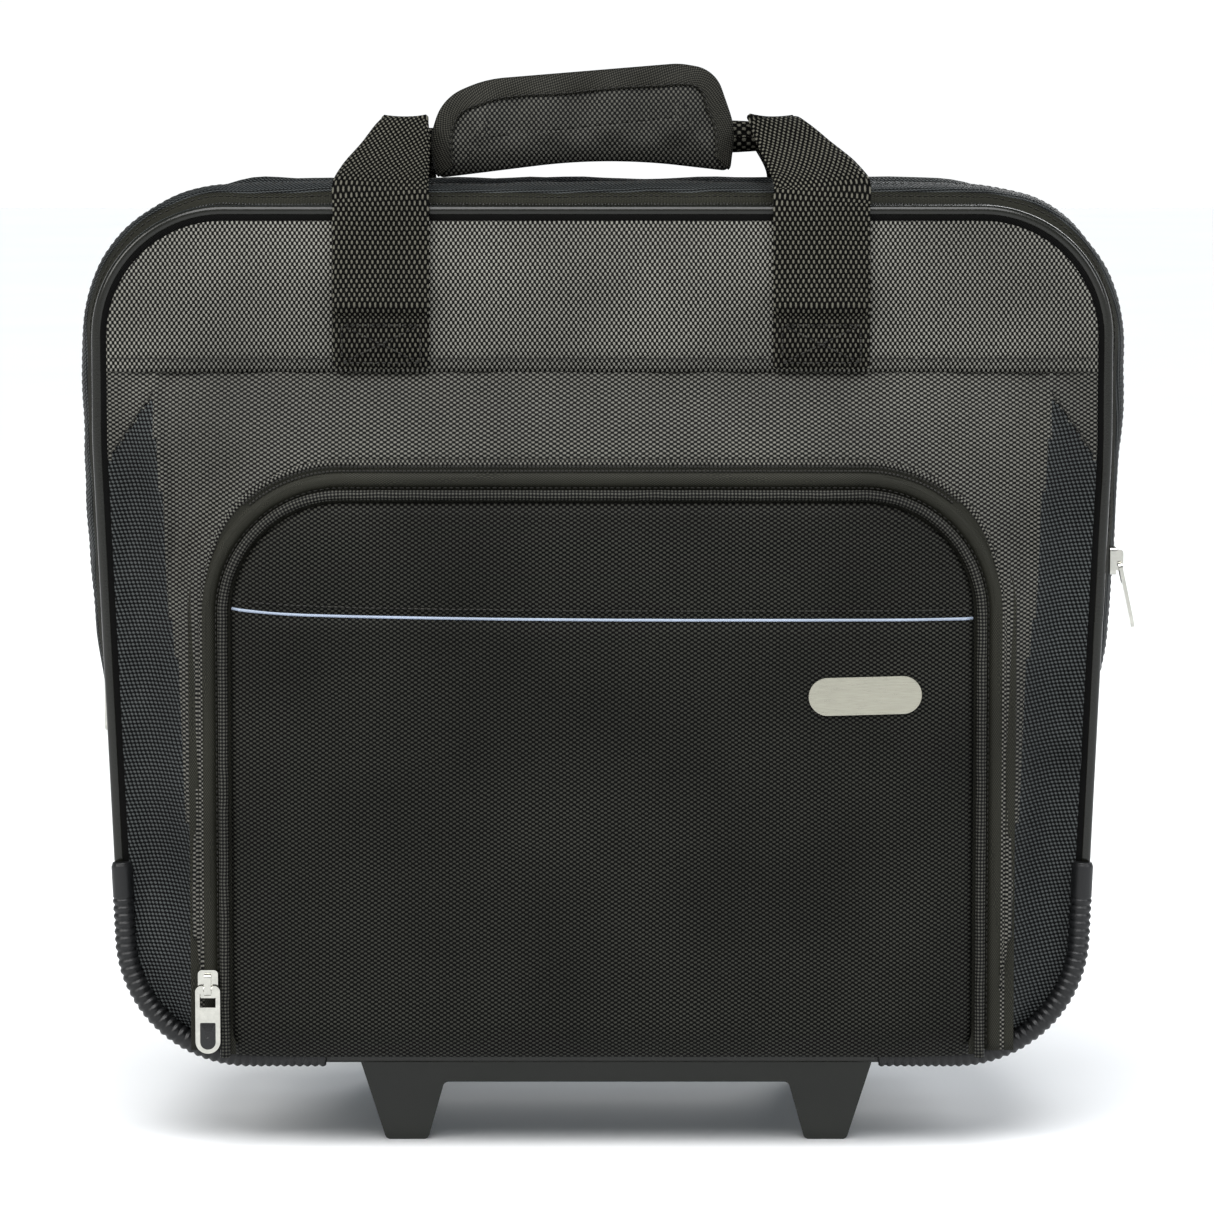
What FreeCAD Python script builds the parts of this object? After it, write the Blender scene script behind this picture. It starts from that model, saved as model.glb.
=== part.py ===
"""Soft-sided rolling flight case with a two-stage trolley handle, two wheels, a hinged front section
and a zip-down front pocket. Millimetres, +Z up, front facing -Y, origin on the floor under the middle."""

import FreeCAD
import Part
import math
import os

from FreeCAD import Vector as V

# ---------------------------------------------------------------- driving dimensions: the soft case
FRONT_Y = -62.0              # outer face of the front panel
PANEL_T = 4.0                # board-stiffened panels
LID_GAP = 0.7                # between the front panel and the case's gusset
DIVIDER_Y = 3.0              # front face of the wall between the two compartments
DIVIDER_T = 3.0
BACK_Y = 48.0                # inner face of the back panel
WALL = 2.0                   # padded fabric walls
BOTTOM_Z = 34.3              # underside of the case above the floor
SHOULDER_Z = 300.0           # the sides are upright above this height and lean in below it
SHOULDER_R = 420.0
CORNER_R = 56.0              # bottom corners, and the front panel's top corners
PIPING_R = 2.5

# Cross-sections of the case: y, half width at the shoulder, half width at the bottom, top z, top radius
FRONT_RIM = (FRONT_Y + PANEL_T + LID_GAP, 213.0, 203.0, 400.0, 55.0)
MAIN_CROWN = (-25.0, 222.5, 206.0, 409.0, 66.0)
MAIN_REAR = (DIVIDER_Y, 217.0, 204.0, 405.5, 74.0)
LAPTOP_CROWN = (26.0, 218.0, 204.0, 411.0, 78.0)
REAR_RIM = (BACK_Y, 211.0, 202.0, 406.5, 84.0)
FRONT_FACE = (FRONT_Y, 216.5, 205.0, 401.8, CORNER_R)

# ---------------------------------------------------------------- front pocket and its flap
SEAM_Z = 332.0               # yoke seam, where the straps are sewn down
YOKE_T = 2.0
POCKET_DEPTH = 24.5          # front panel to the pocket's front border
POCKET_INSET = 9.0           # pocket's foot, in from the piping
POCKET_WALL = 1.8
POCKET_FRONT_BOTTOM = 41.0
POCKET_FRONT_TOP = 303.0
POCKET_FRONT_HALF = (180.0, 187.0)   # bottom, top
FLAP_HALF = 151.5
FLAP_TOP = 272.8
FLAP_BOTTOM = 42.0
FLAP_R = 42.0
FLAP_T = 5.0
FLAP_CROWN = 4.5
FLAP_CROWN_INSET = 34.0
ZIP_TAPE_T = 1.2
ZIP_SPLIT = 10.0             # flap edge to the line where the flap's tape meets the pocket's
ZIP_MID = 15.5               # flap edge to the middle of the zip's chain
ZIP_OUT = 22.0               # flap edge to the outer edge of the outer tape
ACCENT_Z = 230.0
BADGE = (110.5, 197.3, 47.5, 16.0, 1.6)   # centre x, centre z, length, height, thickness
BADGE_TILT = 1.5

# ---------------------------------------------------------------- webbing carry handle
STRAP_X, STRAP_W, STRAP_T = 93.0, 40.0, 2.0
BAR_LEFT, BAR_RIGHT = (-94.0, 418.5), (81.0, 422.5)   # ends of the rolled webbing's underside: x, z
BAR_H = 13.5
LEG_TOP_W = 19.5             # the webbing is rolled narrower where it joins the bar
FRONT_BAR_Y = (-10.0, 0.0)
REAR_BAR_Y = (5.0, 13.0)
WRAP_BACK_Y = (-11.0, 4.0)
WRAP_COVER_Y = (-15.5, -11.4)

# ---------------------------------------------------------------- trolley handle
TUBE_X = 58.0
TUBE_Y = 66.0
TUBE_WALL = 0.8
OUTER_R, MIDDLE_R, INNER_R = 9.5, 8.3, 7.1
GLIDE_R = 8.6
OUTER_Z = (52.0, 370.0)
MIDDLE_Z = (66.0, 374.0)
INNER_Z = (74.0, 388.0)
BEZEL_HALF, BEZEL_Z = 71.0, (350.0, 373.0)
COLLAR_R, COLLAR_Z = 10.5, (373.5, 378.0)
GRIP_HALF, GRIP_Z, GRIP_Y = 75.0, (384.0, 403.0), (57.0, 78.0)
BUTTON_HALF, BUTTON_W, BUTTON_TOP = 16.0, 9.0, 405.5
BUTTON_TRAVEL = 4.0
ROD_R = 2.0
COVER_Z = (70.0, 349.0)
COVER_HALF = 71.5
COVER_DEPTH = 26.0

# ---------------------------------------------------------------- feet and wheels
CARRIAGE_X = 6.0             # middle of the foot bar and the wheel carriage
CARRIAGE_HALF = 110.0
BAR_BOTTOM = 25.0
FOOT_OUT, FOOT_IN, FOOT_IN_TOP = 99.0, 81.0, 74.0
BAR_Y = (-56.0, -38.0)
WHEEL_X = 93.0               # from the carriage's middle
WHEEL_Y, WHEEL_R, WHEEL_W = 76.0, 23.0, 16.0
AXLE_R = 3.0
RUN_CLEAR = 0.05
HOUSING_R, HOUSING_W, CHEEK_T = 29.5, 27.0, 3.0

BIG = 1000.0


# ---------------------------------------------------------------- geometry helpers
def rounded_edges(points, radii, closed, y):
    """Lines and tangent arcs through points in the XZ plane, as edges at depth y."""
    n = len(points)
    starts, ends, arcs = {}, {}, {}
    for i, (point, radius) in enumerate(zip(points, radii)):
        here = V(point[0], y, point[1])
        if not closed and i in (0, n - 1):
            starts[i] = ends[i] = here
            continue
        before = V(points[i - 1][0], y, points[i - 1][1])
        after = V(points[(i + 1) % n][0], y, points[(i + 1) % n][1])
        back, on = (before - here).normalize(), (after - here).normalize()
        opening = back.getAngle(on)
        reach = radius / math.tan(opening / 2)
        bisector = (back + on).normalize()
        centre = here + bisector * (radius / math.sin(opening / 2))
        starts[i], ends[i] = here + back * reach, here + on * reach
        arcs[i] = Part.Arc(starts[i], centre - bisector * radius, ends[i]).toShape()
    edges = []
    for i in range(n if closed else n - 1):
        j = (i + 1) % n
        if i in arcs:
            edges.append(arcs[i])
        edges.append(Part.LineSegment(ends[i], starts[j]).toShape())
    return edges


def case_points(section, inset):
    """Corner points and radii of one cross-section of the case, drawn in by inset."""
    _, shoulder, foot, top, top_r = section
    s, f = shoulder - inset, foot - inset
    low, high = BOTTOM_Z + inset, top - inset
    points = [(-f, low), (-s, SHOULDER_Z), (-s, high), (s, high), (s, SHOULDER_Z), (f, low)]
    radii = [CORNER_R - inset, SHOULDER_R, top_r - inset, top_r - inset, SHOULDER_R, CORNER_R - inset]
    return points, radii


def case_wire(section, inset=0.0, y=None):
    points, radii = case_points(section, inset)
    return Part.Wire(rounded_edges(points, radii, True, section[0] if y is None else y))


def plate(wire, depth):
    """Solid of a closed wire drawn along +Y."""
    return Part.Face(wire).extrude(V(0, depth, 0))


def loft(wires):
    return Part.makeLoft(wires, True, False)


def tube(edges, radius):
    """Round bar along a chain of edges."""
    path = Part.Wire(edges)
    start = path.Edges[0].valueAt(path.Edges[0].FirstParameter)
    ahead = path.Edges[0].tangentAt(path.Edges[0].FirstParameter)
    ring = Part.Wire(Part.Circle(start, ahead, radius).toShape())
    return path.makePipeShell([ring], True, True)


def box(x, y, z):
    """Box from three (low, high) pairs."""
    return Part.makeBox(x[1] - x[0], y[1] - y[0], z[1] - z[0], V(x[0], y[0], z[0]))


def rod(radius, start, end):
    along = V(*end) - V(*start)
    return Part.makeCylinder(radius, along.Length, V(*start), along)


def pipe(outer, inner, start, end):
    return rod(outer, start, end).cut(rod(inner, start, end))


def softened(shape, radius, picks):
    """Fillets the edges whose direction and place pass the test picks(edge)."""
    edges = [e for e in shape.Edges if picks(e)]
    return shape.makeFillet(radius, edges) if edges else shape


def along_axis(axis):
    """Test for straight edges that run along one axis: 0 for X, 1 for Y, 2 for Z."""
    def test(edge):
        ends = [v.Point for v in edge.Vertexes]
        if len(ends) != 2 or not isinstance(edge.Curve, Part.Line):
            return False
        run = ends[1] - ends[0]
        return abs(run[axis]) > 0.999 * run.Length
    return test


def rounded_box(x, y, z, radius, axis=0):
    """Box whose edges along one axis are rounded."""
    return softened(box(x, y, z), radius, along_axis(axis))


def prism_x(points, x):
    """Closed outline in the YZ plane drawn along X from x[0] to x[1]."""
    corners = [V(x[0], y, z) for y, z in points]
    return Part.Face(Part.makePolygon(corners + corners[:1])).extrude(V(x[1] - x[0], 0, 0))


def prism_y(points, y):
    """Closed outline in the XZ plane drawn along Y from y[0] to y[1]."""
    corners = [V(x, y[0], z) for x, z in points]
    return Part.Face(Part.makePolygon(corners + corners[:1])).extrude(V(0, y[1] - y[0], 0))


def fused(shapes):
    whole = shapes[0]
    for shape in shapes[1:]:
        whole = whole.fuse(shape)
    return whole.removeSplitter()


def mirrored(shape, x=0.0):
    return shape.mirror(V(x, 0, 0), V(1, 0, 0))


# ---------------------------------------------------------------- the case itself
def gusset(front, crown, rear):
    """Ring wall of one compartment, swollen in the middle of its depth."""
    sections = (front, crown, rear)
    outer = loft([case_wire(s) for s in sections])
    inner = loft([case_wire(s, WALL) for s in sections])
    return outer.cut(inner)


def foot_screw_places():
    middle = (BAR_Y[0] + BAR_Y[1]) / 2
    return [(CARRIAGE_X + dx, middle) for dx in (-88.0, -32.0, 32.0, 88.0)]


SCREW_R, SCREW_HEAD_R, SCREW_HEAD_H, SCREW_TOP = 2.0, 3.8, 2.4, 40.0
BOARD_T = 2.5
BOARD_HALF = 144.0


def foot_screws():
    made = []
    for x, y in foot_screw_places():
        head = rod(SCREW_HEAD_R, (x, y, BAR_BOTTOM + 2.0), (x, y, BAR_BOTTOM + 2.0 + SCREW_HEAD_H))
        shank = rod(SCREW_R, (x, y, BAR_BOTTOM + 2.0), (x, y, SCREW_TOP))
        made.append(head.fuse(shank))
    return Part.makeCompound(made)


def screw_holes():
    return [rod(SCREW_R, (x, y, 0), (x, y, SCREW_TOP)) for x, y in foot_screw_places()]


def main_gusset():
    shell = gusset(FRONT_RIM, MAIN_CROWN, MAIN_REAR)
    for hole in screw_holes():
        shell = shell.cut(hole)
    return shell


def base_board():
    low = BOTTOM_Z + WALL
    board = box((-BOARD_HALF, BOARD_HALF), (FRONT_RIM[0] + 1.0, DIVIDER_Y - 1.0), (low, low + BOARD_T))
    for hole in screw_holes():
        board = board.cut(hole)
    return board


def laptop_gusset():
    front = (DIVIDER_Y + DIVIDER_T,) + MAIN_REAR[1:]
    return gusset(front, LAPTOP_CROWN, REAR_RIM)


def divider_panel():
    return plate(case_wire(MAIN_REAR), DIVIDER_T)


def rear_piping_tube(clearance=0.0):
    points, radii = case_points(REAR_RIM, PIPING_R - 1.0)
    return tube(rounded_edges(points, radii, True, BACK_Y + PANEL_T / 2 + 1.0), PIPING_R + clearance)


def back_panel():
    panel = plate(case_wire(REAR_RIM, PIPING_R - 1.0), PANEL_T)
    return panel.cut(rear_piping_tube()).cut(carriage_screws())


def laptop_pad():
    low = BOTTOM_Z + WALL
    depth = (DIVIDER_Y + DIVIDER_T + 0.5, BACK_Y - 0.5)
    return rounded_box((-BOARD_HALF, BOARD_HALF), depth, (low, low + 14.0), 3.0)


def laptop_strap():
    """Hook-and-loop strap sewn to the divider, stowed flat against it."""
    y = DIVIDER_Y + DIVIDER_T
    return fused([
        box((-25.0, 25.0), (y, y + 2.0), (300.0, 360.0)),
        box((-19.0, 19.0), (y + 2.0, y + 4.0), (245.0, 350.0)),
    ])


# ---------------------------------------------------------------- front section
def front_outline(inset, y):
    return case_wire(FRONT_FACE, inset, y)


GUARD_Y, GUARD_INSET, GUARD_R, GUARD_RIB_R = -63.0, 3.5, 4.3, 5.1
GUARD_TOP_Z, GUARD_END_X = 121.4, 118.0
GUARD_RIBS, GUARD_RIB_W = 24, 2.0


def side_x(z, inset):
    """Half width of the front face's leaning side at height z, drawn in by inset."""
    share = (z - BOTTOM_Z) / (SHOULDER_Z - BOTTOM_Z)
    return FRONT_FACE[2] + (FRONT_FACE[1] - FRONT_FACE[2]) * share - inset


def guard_path():
    """Left-hand corner: down the side, round the corner and along the bottom."""
    points = [(-side_x(GUARD_TOP_Z, GUARD_INSET), GUARD_TOP_Z),
              (-side_x(BOTTOM_Z, GUARD_INSET), BOTTOM_Z + GUARD_INSET),
              (-GUARD_END_X, BOTTOM_Z + GUARD_INSET)]
    return rounded_edges(points, [0, CORNER_R - GUARD_INSET, 0], False, GUARD_Y)


def corner_guard():
    """Ribbed moulding over the piping, smooth at its top end."""
    path = Part.Wire(guard_path())
    body = tube(path.Edges, GUARD_R)
    points = path.discretize(GUARD_RIBS * 2 + 9)
    for i in range(9, len(points) - 1, 2):
        ahead = (points[i + 1] - points[i - 1]).normalize()
        start = points[i] - ahead * (GUARD_RIB_W / 2)
        body = body.fuse(Part.makeCylinder(GUARD_RIB_R, GUARD_RIB_W, start, ahead))
    return body


def piping_edges():
    """The front piping in two runs: over the top from guard to guard, and along the bottom."""
    low, high = BOTTOM_Z + PIPING_R, FRONT_FACE[3] - PIPING_R
    side = side_x(GUARD_TOP_Z, PIPING_R)
    half = FRONT_FACE[1] - PIPING_R
    over = [(-side, GUARD_TOP_Z), (-half, SHOULDER_Z), (-half, high), (half, high), (half, SHOULDER_Z),
            (side, GUARD_TOP_Z)]
    radii = [0, SHOULDER_R, CORNER_R - PIPING_R, CORNER_R - PIPING_R, SHOULDER_R, 0]
    y = FRONT_Y + PANEL_T / 2
    run = Part.LineSegment(V(-GUARD_END_X, y, low), V(GUARD_END_X, y, low)).toShape()
    return rounded_edges(over, radii, False, y), [run]


def front_piping():
    return Part.makeCompound([tube(edges, PIPING_R) for edges in piping_edges()])


def front_panel(guards, piping):
    panel = plate(front_outline(PIPING_R, FRONT_Y), PANEL_T)
    return panel.cut(Part.makeCompound(guards + piping.Solids))


def yoke_panel(guards):
    outline = plate(front_outline(PIPING_R * 2 + 0.6, FRONT_Y - YOKE_T), YOKE_T)
    return outline.common(box((-BIG, BIG), (-BIG, BIG), (SEAM_Z, BIG))).cut(Part.makeCompound(guards))


def flap_points(grow, bottom=FLAP_BOTTOM):
    """The flap's outline, open at the bottom: up one side, over the top and down the other."""
    half, top, radius = FLAP_HALF + grow, FLAP_TOP + grow, FLAP_R + grow
    return [(-half, bottom), (-half, top), (half, top), (half, bottom)], [0, radius, radius, 0]


def flap_wire(grow, y, bottom=FLAP_BOTTOM):
    points, radii = flap_points(grow, bottom)
    edges = rounded_edges(points, radii, False, y)
    edges.append(Part.LineSegment(V(points[-1][0], y, bottom), V(points[0][0], y, bottom)).toShape())
    return Part.Wire(edges)


def flap_band(inner, outer, y, depth):
    """Flat band along the flap's edge between two distances from it, ending at the pocket's foot."""
    band = plate(flap_wire(outer, y), depth).cut(plate(flap_wire(inner, y, -BIG), depth))
    return band.common(plate(pocket_wire(y, 0.3, True), depth))


def pocket_wire(y, inset, front):
    """Outline of the pocket at the front panel, or at its front border."""
    if front:
        low, high = POCKET_FRONT_BOTTOM, POCKET_FRONT_TOP
        foot, head = POCKET_FRONT_HALF
        foot_r, head_r = 34.0, 16.0
    else:
        low, high = BOTTOM_Z + POCKET_INSET, SEAM_Z - 1.0
        foot, head = side_x(BOTTOM_Z, POCKET_INSET), FRONT_FACE[1] - POCKET_INSET
        foot_r, head_r = CORNER_R - POCKET_INSET, 8.0
    f, h = foot - inset, head - inset
    points = [(-f, low + inset), (-h, high - inset), (h, high - inset), (f, low + inset)]
    radii = [foot_r - inset, head_r - inset, head_r - inset, foot_r - inset]
    return Part.Wire(rounded_edges(points, radii, True, y))


def pocket_gusset():
    """Swelling shell of the front pocket, open to the front panel and under the flap."""
    front = FRONT_Y - POCKET_DEPTH
    outer = Part.makeLoft([pocket_wire(FRONT_Y, 0.0, False), pocket_wire(front, 0.0, True)], True, True)
    inner = Part.makeLoft([pocket_wire(FRONT_Y, POCKET_WALL, False),
                           pocket_wire(front + POCKET_WALL, POCKET_WALL, True)], True, True)
    mouth = plate(flap_wire(ZIP_SPLIT, front - 1.0, POCKET_FRONT_BOTTOM + POCKET_WALL), POCKET_WALL + 2.0)
    return outer.cut(inner).cut(mouth)


ORGANISER_T = 2.0
ORGANISER_X, ORGANISER_Z = (-140.0, 140.0), (62.0, 215.0)
CARDS_X, CARDS_Z, CARDS_T = (-135.0, -20.0), (66.0, 170.0), 2.0
PHONE_X, PHONE_Z, PHONE_T = (0.0, 70.0), (66.0, 190.0), 3.0
PEN_X, PEN_W, PEN_Z, PEN_T = (80.0, 98.0, 116.0), 14.0, (80.0, 175.0), 4.0


def organiser_pocket():
    """Pen and card pockets sewn to the front panel inside the front pocket."""
    face = FRONT_Y - ORGANISER_T
    back = box(ORGANISER_X, (face, FRONT_Y), ORGANISER_Z)
    cards = box(CARDS_X, (face - CARDS_T, face), CARDS_Z)
    phone = box(PHONE_X, (face - PHONE_T, face), PHONE_Z)
    pens = [rounded_box((x, x + PEN_W), (face - PEN_T, face), PEN_Z, 1.8, 2) for x in PEN_X]
    return fused([back, cards, phone] + pens)


# ---------------------------------------------------------------- the flap of the front pocket
FLAP_Y = FRONT_Y - POCKET_DEPTH - 0.3       # back of everything that swings with the flap
FLAP_FACE_Y = FLAP_Y - FLAP_T


def flap_panel():
    body = plate(flap_wire(0.0, FLAP_FACE_Y), FLAP_T)
    crown = loft([flap_wire(0.0, FLAP_FACE_Y),
                  flap_wire(-FLAP_CROWN_INSET, FLAP_FACE_Y - FLAP_CROWN, FLAP_BOTTOM + FLAP_CROWN_INSET)])
    return body.fuse(crown)


FLAP_PIPING_R = 2.6


def flap_piping():
    points, radii = flap_points(FLAP_PIPING_R)
    return tube(rounded_edges(points, radii, False, FLAP_FACE_Y + FLAP_PIPING_R), FLAP_PIPING_R)


def accent_piping():
    """Thin cord sewn across the flap, following its crown."""
    low, high = ACCENT_Z - 0.7, ACCENT_Z + 0.7
    raised = flap_panel().common(box((-FLAP_HALF + 2.0, FLAP_HALF - 2.0), (-BIG, 0), (low, high)))
    raised.translate(V(0, -1.0, 0))
    return raised.cut(flap_panel())


def badge_plate():
    """Blank metal plate, standing just proud of the flap."""
    x, z, length, height, thick = BADGE
    face = FLAP_FACE_Y - FLAP_CROWN
    half = (length - height) / 2
    body = box((x - half, x + half), (face - thick, face), (z - height / 2, z + height / 2))
    for dx in (-half, half):
        body = body.fuse(rod(height / 2, (x + dx, face - thick, z), (x + dx, face, z)))
    prongs = [rod(1.2, (x + dx, face, z), (x + dx, FLAP_Y - 1.0, z)) for dx in (-half, half)]
    made = fused([body] + prongs)
    made.rotate(V(x, face, z), V(0, -1, 0), BADGE_TILT)
    return made


def flap_panel_for_badge(badge):
    return flap_panel().cut(badge)


# ---------------------------------------------------------------- zips and their sliders
ZIP_GAP = 0.2
SIDE_ZIP_Y = {"main": FRONT_RIM[0] + 6.5, "laptop": 29.0}
SIDE_ZIP_HALF_W, SIDE_ZIP_T, SIDE_ZIP_END_Z = 3.2, 1.0, 150.0


def side_zip(front, crown, rear, y):
    """Zip chain over the top of a gusset and down both sides, lying on the fabric."""
    sections = (front, crown, rear)
    proud = loft([case_wire(s, -SIDE_ZIP_T) for s in sections])
    flush = loft([case_wire(s) for s in sections])
    slab = box((-BIG, BIG), (y - SIDE_ZIP_HALF_W, y + SIDE_ZIP_HALF_W), (SIDE_ZIP_END_Z, BIG))
    return proud.cut(flush).common(slab)


def front_zip_outer():
    """Tape and chain sewn round the pocket's mouth."""
    return flap_band(ZIP_SPLIT + ZIP_GAP / 2, ZIP_OUT, FRONT_Y - POCKET_DEPTH - ZIP_TAPE_T, ZIP_TAPE_T)


def front_zip_inner():
    """Tape sewn to the flap's edge."""
    return flap_band(2 * FLAP_PIPING_R + 0.1, ZIP_SPLIT - ZIP_GAP / 2, FLAP_Y - ZIP_TAPE_T, ZIP_TAPE_T)


SLIDER_W, SLIDER_H, SLIDER_T = 8.5, 12.0, 2.6
PULL_W, PULL_L, PULL_T, PULL_RIM = 10.5, 29.0, 1.6, 1.9
FRONT_SLIDER_X = -(FLAP_HALF + ZIP_MID)
FRONT_SLIDER_Z = 73.5
FRONT_SLIDER_Y = FLAP_Y - ZIP_TAPE_T - ZIP_GAP


def slider():
    """Zip slider lying in the XZ plane with its back at y 0: a body and a raised bridge for the pull."""
    half = SLIDER_W / 2
    body = rounded_box((-half, half), (-SLIDER_T, 0.0), (-SLIDER_H / 2, SLIDER_H / 2), 1.8, 1)
    bridge = rounded_box((-1.4, 1.4), (-SLIDER_T - 3.3, -SLIDER_T), (-4.5, 4.5), 1.2, 0)
    eye = rod(1.15, PULL_AXIS - V(2, 0, 0), PULL_AXIS + V(2, 0, 0))
    return body.fuse(bridge).cut(eye)


PULL_AXIS = V(0, -SLIDER_T - 1.7, -1.6)
PULL_TOP = 1.2


def pull_tab():
    """Pull hanging from the slider's eye: square-shouldered at the top, round at the tip, with a slot."""
    half, tip = PULL_W / 2, PULL_TOP - PULL_L
    y = (-PULL_T / 2, PULL_T / 2)
    body = rounded_box((-half, half), y, (tip + half, PULL_TOP), 2.5, 1)
    body = body.fuse(box((-half, half), y, (tip + half, PULL_TOP - 6.0)))
    body = body.fuse(rod(half, (0, y[0], tip + half), (0, y[1], tip + half)))
    slot = box((-half + PULL_RIM, half - PULL_RIM), (-5, 5), (-8.0, -2.0))
    notch = box((-1.9, 1.9), (-5, 5), (-5.0, PULL_TOP + 1.0))
    pin = rod(0.8, (-half + 1.3, 0, 0), (half - 1.3, 0, 0))
    tab = body.removeSplitter().cut(slot).cut(notch).fuse(pin)
    tab.translate(PULL_AXIS)
    return tab


def placed(shape, where, turns=()):
    """Copy of shape turned about the origin by each (axis, degrees), then moved."""
    made = shape.copy()
    for axis, angle in turns:
        made.rotate(V(0, 0, 0), axis, angle)
    made.translate(where)
    return made


MAIN_SLIDER_Z, MAIN_PULL_TILT = 250.0, 12.0
LAPTOP_SLIDER_Z = 196.0
SLIDER_CLEAR = {"main": 1.0, "laptop": 1.8}


def side_slider_place(name, z):
    """Point on the gusset's side under a slider, and the turn that faces it outward."""
    y = SIDE_ZIP_Y[name]
    if name == "main":
        front, crown = FRONT_RIM, MAIN_CROWN
    else:
        front, crown = LAPTOP_CROWN, REAR_RIM
    share = (y - front[0]) / (crown[0] - front[0])
    half = front[1] + (crown[1] - front[1]) * (share * (2 - share) if name == "main" else share)
    lean = (SHOULDER_Z - z) / (SHOULDER_Z - BOTTOM_Z) * (front[1] - front[2])
    return half - lean + SIDE_ZIP_T + SLIDER_CLEAR[name], y


def front_slider_parts():
    where = V(FRONT_SLIDER_X, FRONT_SLIDER_Y, FRONT_SLIDER_Z)
    return placed(slider(), where), placed(pull_tab(), where)


def side_slider_parts(name, z, side, tilt):
    """Slider and pull on the left (-1) or right (+1) of the case; tilt swings the pull outward."""
    x, y = side_slider_place(name, z)
    where = V(side * x, y, z)
    turns = [(V(0, 0, 1), 90.0 * side)]
    pull = pull_tab()
    pull.rotate(PULL_AXIS, V(-1, 0, 0), tilt)
    return placed(slider(), where, turns), placed(pull, where, turns)


# ---------------------------------------------------------------- webbing straps and the padded wrap
def bar_z(x):
    """Underside of the rolled webbing at x."""
    share = (x - BAR_LEFT[0]) / (BAR_RIGHT[0] - BAR_LEFT[0])
    return BAR_LEFT[1] + (BAR_RIGHT[1] - BAR_LEFT[1]) * share


def strap_bar(y):
    """The run of webbing between the legs, rolled up."""
    (x0, z0), (x1, z1) = BAR_LEFT, BAR_RIGHT
    return prism_y([(x0, z0), (x1, z1), (x1, z1 + BAR_H), (x0, z0 + BAR_H)], y)


def strap_leg(side, outward, stations, bar_y):
    """One leg of a webbing handle, left (-1) or right (+1): sewn to a panel, up its face, over the rim
    and in to the bar. outward is -1 at the front and +1 at the back; stations are (y, z) of its inside."""
    x0, x1 = side * STRAP_X - STRAP_W / 2, side * STRAP_X + STRAP_W / 2
    rings = []
    for y, z in stations:
        face = y + outward * STRAP_T
        rings.append([(x0, y, z), (x1, y, z), (x1, face, z + 0.01), (x0, face, z + 0.01)])
    if side < 0:
        top0, top1 = BAR_LEFT[0], BAR_LEFT[0] + LEG_TOP_W
    else:
        top0, top1 = BAR_RIGHT[0] - LEG_TOP_W, BAR_RIGHT[0]
    low, high = bar_z(top0) + BAR_H - 5.0, bar_z(top0) + BAR_H - 1.0
    rings.append([(top0, bar_y, low), (top1, bar_y, low), (top1, bar_y, high), (top0, bar_y, high)])
    wires = [Part.makePolygon([V(*p) for p in ring + ring[:1]]) for ring in rings]
    return Part.makeLoft(wires, True, True)


FRONT_LEG = [(FRONT_Y - YOKE_T, SEAM_Z + 1.5), (FRONT_Y - YOKE_T, 402.0), (-58.5, 409.0)]
REAR_LEG_Y = BACK_Y + PANEL_T + 1.6
REAR_LEG = [(REAR_LEG_Y, SEAM_Z + 1.5), (REAR_LEG_Y, 406.0), (52.5, 409.5), (46.5, 414.0)]


def front_strap():
    legs = [strap_leg(side, -1, FRONT_LEG, FRONT_BAR_Y[0] + 1.0) for side in (-1, 1)]
    return fused(legs + [strap_bar(FRONT_BAR_Y)])


def rear_strap():
    legs = [strap_leg(side, 1, REAR_LEG, REAR_BAR_Y[1] - 1.0) for side in (-1, 1)]
    return fused(legs + [strap_bar(REAR_BAR_Y)])


WRAP_BOTTOM = [(-70.0, 413.0), (0.0, 418.5), (53.0, 415.5)]
WRAP_TOP = [(56.0, 434.0), (48.0, 451.0), (34.0, 459.0), (-50.0, 447.5), (-66.0, 438.0), (-72.0, 424.0)]


def wrap_back(bar):
    """Padded wrap round the rolled webbing."""
    return prism_y(WRAP_BOTTOM + WRAP_TOP, WRAP_BACK_Y).cut(bar)


def wrap_cover():
    """Front of the padded wrap, which folds down when its hook-and-loop is pulled apart."""
    return prism_y(WRAP_BOTTOM + WRAP_TOP, WRAP_COVER_Y)


# ---------------------------------------------------------------- trolley handle
def leg_pair(make):
    """The same shape at both trolley legs."""
    return Part.makeCompound([make(x) for x in (-TUBE_X, TUBE_X)])


def leg_tube(x, radius, z):
    """Thin-walled tube of one trolley leg."""
    return pipe(radius, radius - TUBE_WALL, (x, TUBE_Y, z[0]), (x, TUBE_Y, z[1]))


def outer_tubes():
    return leg_pair(lambda x: leg_tube(x, OUTER_R, OUTER_Z))


def middle_tubes():
    def one(x):
        body = leg_tube(x, MIDDLE_R, MIDDLE_Z)
        return body
    return leg_pair(one)


def middle_collars():
    """Plastic collar on top of each middle tube and a glide round its foot."""
    def one(x):
        inner = INNER_R + 0.3
        cap = pipe(COLLAR_R, inner, (x, TUBE_Y, COLLAR_Z[0]), (x, TUBE_Y, COLLAR_Z[1]))
        seat = pipe(COLLAR_R, MIDDLE_R, (x, TUBE_Y, COLLAR_Z[0]), (x, TUBE_Y, MIDDLE_Z[1]))
        cap = cap.fuse(seat).cut(rod(MIDDLE_R, (x, TUBE_Y, 0), (x, TUBE_Y, MIDDLE_Z[1])))
        return cap
    tops = [one(x) for x in (-TUBE_X, TUBE_X)]
    feet = [pipe(GLIDE_R, MIDDLE_R, (x, TUBE_Y, MIDDLE_Z[0]), (x, TUBE_Y, MIDDLE_Z[0] + 14.0))
            for x in (-TUBE_X, TUBE_X)]
    return Part.makeCompound(tops + feet)


def inner_tubes():
    return leg_pair(lambda x: leg_tube(x, INNER_R, INNER_Z))


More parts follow.
